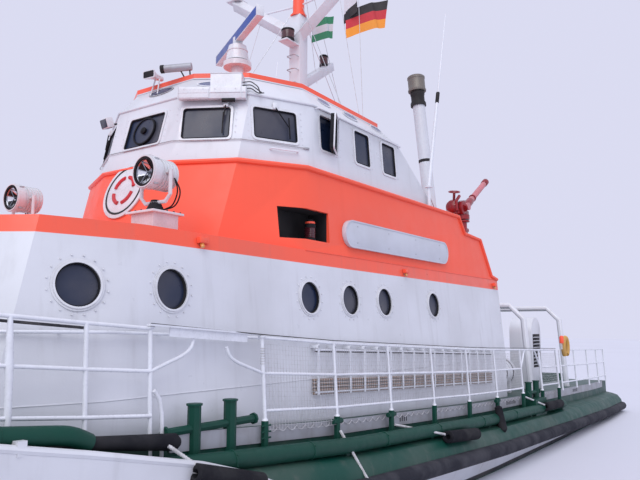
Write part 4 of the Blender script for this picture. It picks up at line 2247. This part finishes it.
@dataclass(frozen=True)
class Rails:
    """Rails with round tubes, safety nets and wires."""

    tube: float = 0.02
    post: float = 0.023
    fore_xs: tuple[float, ...] = (6.13, 6.83, 7.51, 9.0, 10.2, 11.4, 12.4)
    stern_xs: tuple[float, ...] = (-7.7, -9.2, -10.7, -12.1, -13.3)
    middles: Pair = (0.19, 0.6)
    bow_post: float = 13.25
    # Number of the side post after which the bay over the bitts stays open
    open_after: int = 6
    bitts_x: float = -5.19
    side_foot: float = 0.09
    fore_foot: float = -0.4
    side_loop: float = 0.62
    fore_loop: float = -0.6
    # Bent hand loop. Columns: share of its reach, out, up
    loop_line: Line = (
        (0.0, 0.0, 0.0), (0.72, 0.0, 0.14), (0.93, -0.01, 0.21), (1.0, -0.02, 0.32),
    )
    # Stout post. Columns: radius, share of its height
    stout: Profile = ((0.024, 0.0), (0.03, 0.2), (0.037, 0.6), (0.032, 0.8), (0.021, 1.0))
    # Brace beside the gate. Columns: how far aft of the post, share of the rail's height
    brace: Profile = ((0.02, 0.42), (0.09, 0.34), (0.13, 0.2), (0.14, 0.0), (0.14, -0.2))
    net_step: float = 0.055
    net_top: float = 0.93
    cord: float = 0.0022
    hem_loops: int = 7
    seizings: int = 7

    def build(self) -> None:
        """Makes the rails, nets and wires."""
        for side in Side:
            dress(f"rail_gate_bar_{side.word}", RAIL_WHITE)
        self.side_rails()
        self.bow_rails()
        self.stern_rails()
        self.nets()
        self.wires()

    def run(self, piece: Piece, xs: tuple[float, ...], share: float, side: Side) -> None:
        """Adds one tube along the rail."""
        piece.tube([side.place(DECK.rail(x, share)) for x in xs], self.tube, 12)

    def posts(self, piece: Piece, xs: tuple[float, ...], foot: float, side: Side) -> None:
        """Adds the upright posts.

        Args:
            piece: The piece that takes them.
            xs: Where they stand.
            foot: The height over the deck at which they start.
            side: Their side.
        """
        for x in xs:
            low, high = DECK.rail(x, 0) + UP * foot, DECK.rail(x, 1)
            piece.rod(side.place(low), side.place(high), self.post, sides=14)

    def loop(self, piece: Piece, x: float, reach: float, side: Side) -> None:
        """Adds the bent hand loop beside the gate.

        Args:
            piece: The piece that takes it.
            x: Where its post stands.
            reach: How far ahead of the post it reaches.
            side: Its side.
        """
        foot = DECK.rail(x, self.middles[1])
        path = [side.place((x + reach * u, foot.y + v, foot.z + w)) for u, v, w in self.loop_line]
        piece.tube(rounded(path, 0.1), self.tube, 12)

    def head_plate(self, piece: Piece, x: float, side: Side) -> None:
        """Adds the small plate that the gate bar lies on."""
        top = side.place(DECK.rail(x, 1))
        piece.box(top - Vector((0.035, 0.035, 0.006)), top + Vector((0.035, 0.035, 0.021)))

    def side_rails(self) -> None:
        """Makes the side rails with the gap over the after bitts."""
        xs, gap = DECK.side_posts, self.open_after
        for side in Side:
            rail = Piece(f"side_rail_tubes_{side.word}", RAIL_WHITE)
            self.posts(rail, xs, self.side_foot, side)
            self.run(rail, xs, 1.0, side)
            for share in self.middles:
                self.run(rail, xs[: gap + 1], share, side)
                self.run(rail, xs[gap + 1 :], share, side)
            self.loop(rail, xs[0], self.side_loop, side)
            for x in xs[gap : gap + 2]:
                high = DECK.rail((x + self.bitts_x) / 2, 1)
                rail.rod(side.place(DECK.rail(x, self.middles[1])), side.place(high), self.tube)
            self.head_plate(rail, xs[0], side)
            rail.done("rail_white", replaces=(f"side_rail_{side.word}",))

    def stout_post(self, piece: Piece, x: float, side: Side) -> None:
        """Adds the stout post that swells at its middle.

        Args:
            piece: The piece that takes it.
            x: Where it stands.
            side: Its side.
        """
        foot, head = side.place(DECK.rail(x, 0)), side.place(DECK.rail(x, 1))
        rise = (head - foot).length
        profile = [(radius, share * rise) for radius, share in self.stout]
        piece.turned(frame_of(foot, head - foot), profile, 20)

    def bracket(self, piece: Piece, x: float, side: Side) -> None:
        """Adds the bent brace of the post beside the gate.

        Args:
            piece: The piece that takes it.
            x: Where the post stands.
            side: Its side.
        """
        y = DECK.rail(x, 0).y
        path = [side.place((x - aft, y, DECK.rail(x, share).z)) for aft, share in self.brace]
        piece.tube(path, 0.022, 10)

    def bow_rails(self) -> None:
        """Makes the rail round the foredeck."""
        rail = Piece("bow_rail_tubes", RAIL_WHITE)
        gate = self.fore_xs[0]
        foot = Vector((self.bow_post, 0, DECK.height(self.bow_post)))
        for side in Side:
            self.posts(rail, self.fore_xs, self.fore_foot, side)
            self.loop(rail, gate, self.fore_loop, side)
            self.head_plate(rail, gate, side)
            self.stout_post(rail, self.fore_xs[2], side)
            self.bracket(rail, gate, side)
            for share in (*self.middles, 1.0):
                path = [DECK.rail(x, share) for x in self.fore_xs]
                path.append(foot + UP * DECK.rail_height * share)
                rail.tube([side.place(point) for point in path], self.tube, 12)
        rail.rod(foot, foot + UP * DECK.rail_height, self.post, sides=14)
        rail.done("rail_white", replaces=("bow_rail",))

    def stern_rails(self) -> None:
        """Makes the rails beside the well."""
        for side in Side:
            rail = Piece(f"stern_rail_tubes_{side.word}", RAIL_WHITE)
            self.posts(rail, self.stern_xs, 0.0, side)
            for share in (*self.middles, 1.0):
                self.run(rail, self.stern_xs, share, side)
            rail.done("rail_white", replaces=(f"stern_rail_{side.word}",))

    def nets(self) -> None:
        """Makes the safety nets in the side rails, with scalloped hems below."""
        net = Piece("safety_nets", ROPE)
        bays = list(zip(DECK.side_posts, DECK.side_posts[1:]))
        del bays[self.open_after]
        for index, (fore, aft) in enumerate(bays):
            self.bay(net, fore - 0.03, aft + 0.03, -0.02 if index == 0 else 0.2)
            self.hem(net, fore, aft)
        net.mirror()
        net.done("rail_white")

    def bay(self, net: Piece, fore: float, aft: float, low: float) -> None:
        """Adds the level and upright cords of one bay.

        Args:
            net: The piece that takes them.
            fore: The bay's fore end.
            aft: Its after end.
            low: The net's lower edge, as a share of the rail's height.
        """
        high = self.net_top
        count = round((fore - aft) / self.net_step)
        rows = round((high - low) * DECK.rail_height / self.net_step)
        for i in range(count + 1):
            x = fore + (aft - fore) * i / count
            path = [DECK.rail(x, low + (high - low) * k / 4) + TO_PORT * 0.012 for k in range(5)]
            net.tube(path, self.cord, 4)
        for j in range(rows + 1):
            share = low + (high - low) * j / rows
            path = []
            for k in range(9):
                slack = -0.012 * math.sin(math.pi * k / 8)
                path.append(DECK.rail(fore + (aft - fore) * k / 8, share) + Vector((0, 0.014, slack)))
            net.tube(path, self.cord, 4)

    def hem(self, net: Piece, fore: float, aft: float) -> None:
        """Adds the scalloped line under a bay.

        Args:
            net: The piece that takes it.
            fore: The bay's fore end.
            aft: Its after end.
        """
        path = []
        steps = self.hem_loops * 6
        for k in range(steps + 1):
            t = k / steps
            x = fore - 0.08 + (aft - fore + 0.16) * t
            drop = 0.05 * abs(math.sin(math.pi * self.hem_loops * t))
            path.append((x, DECK.edge(x) + 0.03, DECK.height(x) - drop))
        net.tube(path, 0.005, 5)

    def wires(self) -> None:
        """Makes the life lines along the rails and the seizings on the gate post."""
        wires = Piece("life_lines", DARK_ROPE)
        line = [DECK.rail(self.fore_xs[0], 1.0) + Vector((0, 0.01, 0.05))]
        line += [DECK.rail(x, 1.0) + Vector((0, 0.01, 0.035)) for x in DECK.side_posts]
        wires.tube(line, 0.006, 6)
        bow = [DECK.rail(x, 1.0) + Vector((0, -0.02, -0.045)) for x in self.fore_xs[1:]]
        wires.tube(bow, 0.014, 6)
        wires.use(ROPE)
        post = DECK.rail(DECK.side_posts[0], 0.75)
        for k in range(self.seizings):
            axes = upright(post + UP * (k * 0.03 - 0.05))
            wires.tube(ring_of(axes, circle(0.027, 12), 0.004), 0.006, 6, closed=True)
        wires.mirror()
        wires.done("rail_white")


@dataclass(frozen=True)
class ScrambleRack:
    """Rack of rolled climbing nets along the side of the lower house."""

    fore: float = 3.14
    aft: float = -3.3
    y: float = 2.43
    top: Pair = (2.51, 2.26)
    low: Pair = (1.84, 1.57)
    straps: int = 17
    strap_half: float = 0.022
    strap_out: Pair = (0.03, 0.042)
    hook_half: float = 0.03
    rail_shares: Pair = (0.1, 0.95)
    slats: int = 5
    slat_step: float = 0.045

    def build(self) -> None:
        """Makes the rack's straps, hooks, rails, slats and rope."""
        rack = Piece("scramble_racks", RAIL_WHITE)
        for k in range(self.straps):
            self.strap(rack, k / (self.straps - 1))
        ends = ((self.fore + 0.05, self.top[0], self.low[0]), (self.aft - 0.05, self.top[1], self.low[1]))
        for share in self.rail_shares:
            rack.tube([(x, self.y + 0.024, top + (low - top) * share) for x, top, low in ends], 0.012, 8)
        rack.use(WOOD)
        for k in range(self.slats):
            rise = 0.02 + k * self.slat_step
            start, end = (Vector((x, self.y - 0.01, low + rise)) for x, top, low in ends)
            axes = frame_of((start + end) / 2, TO_PORT, end - start)
            rack.block(axes, ((end - start).length, 0.03, 0.05))
        rack.use(DARK_ROPE)
        rack.tube([(x, self.y + 0.01, top - 0.09) for x, top, low in ends], 0.009, 6)
        rack.mirror()
        rack.done("rail_white")

    def strap(self, rack: Piece, t: float) -> None:
        """Adds one strap with its hook.

        Args:
            rack: The piece that takes it.
            t: Its share of the way from the fore end.
        """
        x = self.fore + (self.aft - self.fore) * t
        top = self.top[0] + (self.top[1] - self.top[0]) * t
        low = self.low[0] + (self.low[1] - self.low[0]) * t
        back, face = (self.y + out for out in self.strap_out)
        rack.box((x - self.strap_half, back, low), (x + self.strap_half, face, top))
        rack.box((x - self.hook_half, self.y - 0.09, top - 0.05), (x + self.hook_half, face, top))
        middle = (back + face) / 2
        rack.rod((x, middle, top - 0.02), (x, middle, top + 0.06), 0.01, 0.006, sides=8)


@dataclass(frozen=True)
class AfterDeck:
    """Rafts, vent trunks, towing arches, gate and buoys."""

    # Columns: x, y, height over the deck
    raft_middle: Triple = (-5.3, 1.75, 0.48)
    # Bands round a raft. Columns: outer radius, inner radius, width
    strap: Triple = (0.327, 0.318, 0.05)
    strap_xs: Triple = (-0.475, -0.025, 0.425)
    seam: Triple = (0.332, 0.316, 0.035)
    seam_xs: tuple[float, ...] = (-0.6, -0.25, 0.2, 0.56)
    louvres: int = 9
    louvre_first: Triple = (-7.7, 2.056, 1.75)
    louvre_step: float = 0.09
    louvre_size: Triple = (0.56, 0.05, 0.012)
    louvre_tilt: float = math.radians(35.0)
    opening: Span = ((-7.99, 2.045, 1.68), (-7.41, 2.052, 2.56))
    buoy_x: float = -8.1
    # Half width and half height of its arc
    buoy_half: Pair = (0.2, 0.24)
    # Where the buoy starts and how far it goes round, in degrees
    buoy_turn: Pair = (-60.0, 300.0)
    buoy_spans: int = 18
    # Light beside the buoy. Columns: radius, height
    light: Profile = ((0.05, 0.0), (0.055, 0.02), (0.055, 0.16), (0.03, 0.2))

    def build(self) -> None:
        """Makes and dresses the after deck's pieces."""
        for side in Side:
            dress(f"life_raft_{side.word}", WHITE_PAINT)
            dress(f"vent_trunk_{side.word}", WHITE_PAINT, 0.01)
        dress("towing_arch_fore", WHITE_PAINT)
        dress("towing_arch_aft", WHITE_PAINT)
        dress("stern_gate", GREEN_ENAMEL, 0.008)
        self.raft_bands()
        self.trunk_louvres()
        self.buoys()

    def raft_bands(self) -> None:
        """Makes the rafts' straps and seams."""
        bands = Piece("life_raft_bands", BLACK)
        x, y, over = self.raft_middle
        middle = Vector((x, y, DECK.height(x) + over))
        rows = ((BLACK, self.strap, self.strap_xs), (WHITE_PAINT, self.seam, self.seam_xs))
        for finish, (outer, inner, width), places in rows:
            bands.use(finish)
            for place in places:
                bands.collar(frame_of(middle + AHEAD * place, AHEAD), outer, inner, 0.0, width, 48)
        bands.mirror()
        bands.done("house_white")

    def trunk_louvres(self) -> None:
        """Makes the louvres on the vent trunks."""
        louvres = Piece("vent_trunk_louvres", WHITE_PAINT)
        tilt = Matrix.Rotation(self.louvre_tilt, 4, "X")
        for k in range(self.louvres):
            spot = Vector(self.louvre_first) + UP * k * self.louvre_step
            louvres.block(Matrix.Translation(spot) @ tilt, self.louvre_size)
        louvres.use(BLACK)
        louvres.box(*self.opening)
        louvres.mirror()
        louvres.done("house_white")

    def buoys(self) -> None:
        """Makes the yellow horseshoe buoys and their orange lights on the stern rails."""
        buoys = Piece("horseshoe_buoys", YELLOW)
        middle = DECK.rail(self.buoy_x, 1.0) + Vector((0, 0.07, 0.08))
        start, turn = self.buoy_turn
        wide, high = self.buoy_half
        arc = []
        for step in range(self.buoy_spans + 1):
            angle = math.radians(start + turn * step / self.buoy_spans)
            arc.append(middle + Vector((wide * math.cos(angle), 0, high * math.sin(angle))))
        buoys.tube(arc, 0.062, 14)
        buoys.use(ORANGE_PAINT)
        lamp = middle + Vector((0.34, 0, 0.1))
        buoys.turned(upright(lamp), self.light, 20)
        buoys.use(RAIL_WHITE)
        buoys.rod(lamp - UP * 0.16, lamp, 0.012, sides=8)
        buoys.mirror()
        buoys.done("signal_orange")


@dataclass(frozen=True)
class RunningGear:
    """Shafts, propellers and rudders."""

    def build(self) -> None:
        """Dresses the running gear."""
        for side in Side:
            dress(f"shaft_{side.word}", STEEL)
            dress(f"rudder_{side.word}", GREEN_ENAMEL, 0.006)
        for name in ("centre", "port", "starboard"):
            dress(f"propeller_{name}", BRONZE, 0.01)


def main() -> None:
    """Builds the ship's looks, one sub-assembly after another."""
    logging.basicConfig(level=logging.INFO, format="%(message)s")
    Studio().build()
    assemblies = (
        Hull(),
        Foredeck(),
        Fenders(),
        LowerHouse(),
        UpperHouse(),
        Wheelhouse(),
        RoofGear(),
        Searchlights(),
        Monitor(),
        MastGear(),
        Rails(),
        ScrambleRack(),
        AfterDeck(),
        RunningGear(),
    )
    for assembly in assemblies:
        log.info("building %s", type(assembly).__name__)
        assembly.build()


if __name__ == "__main__":
    main()
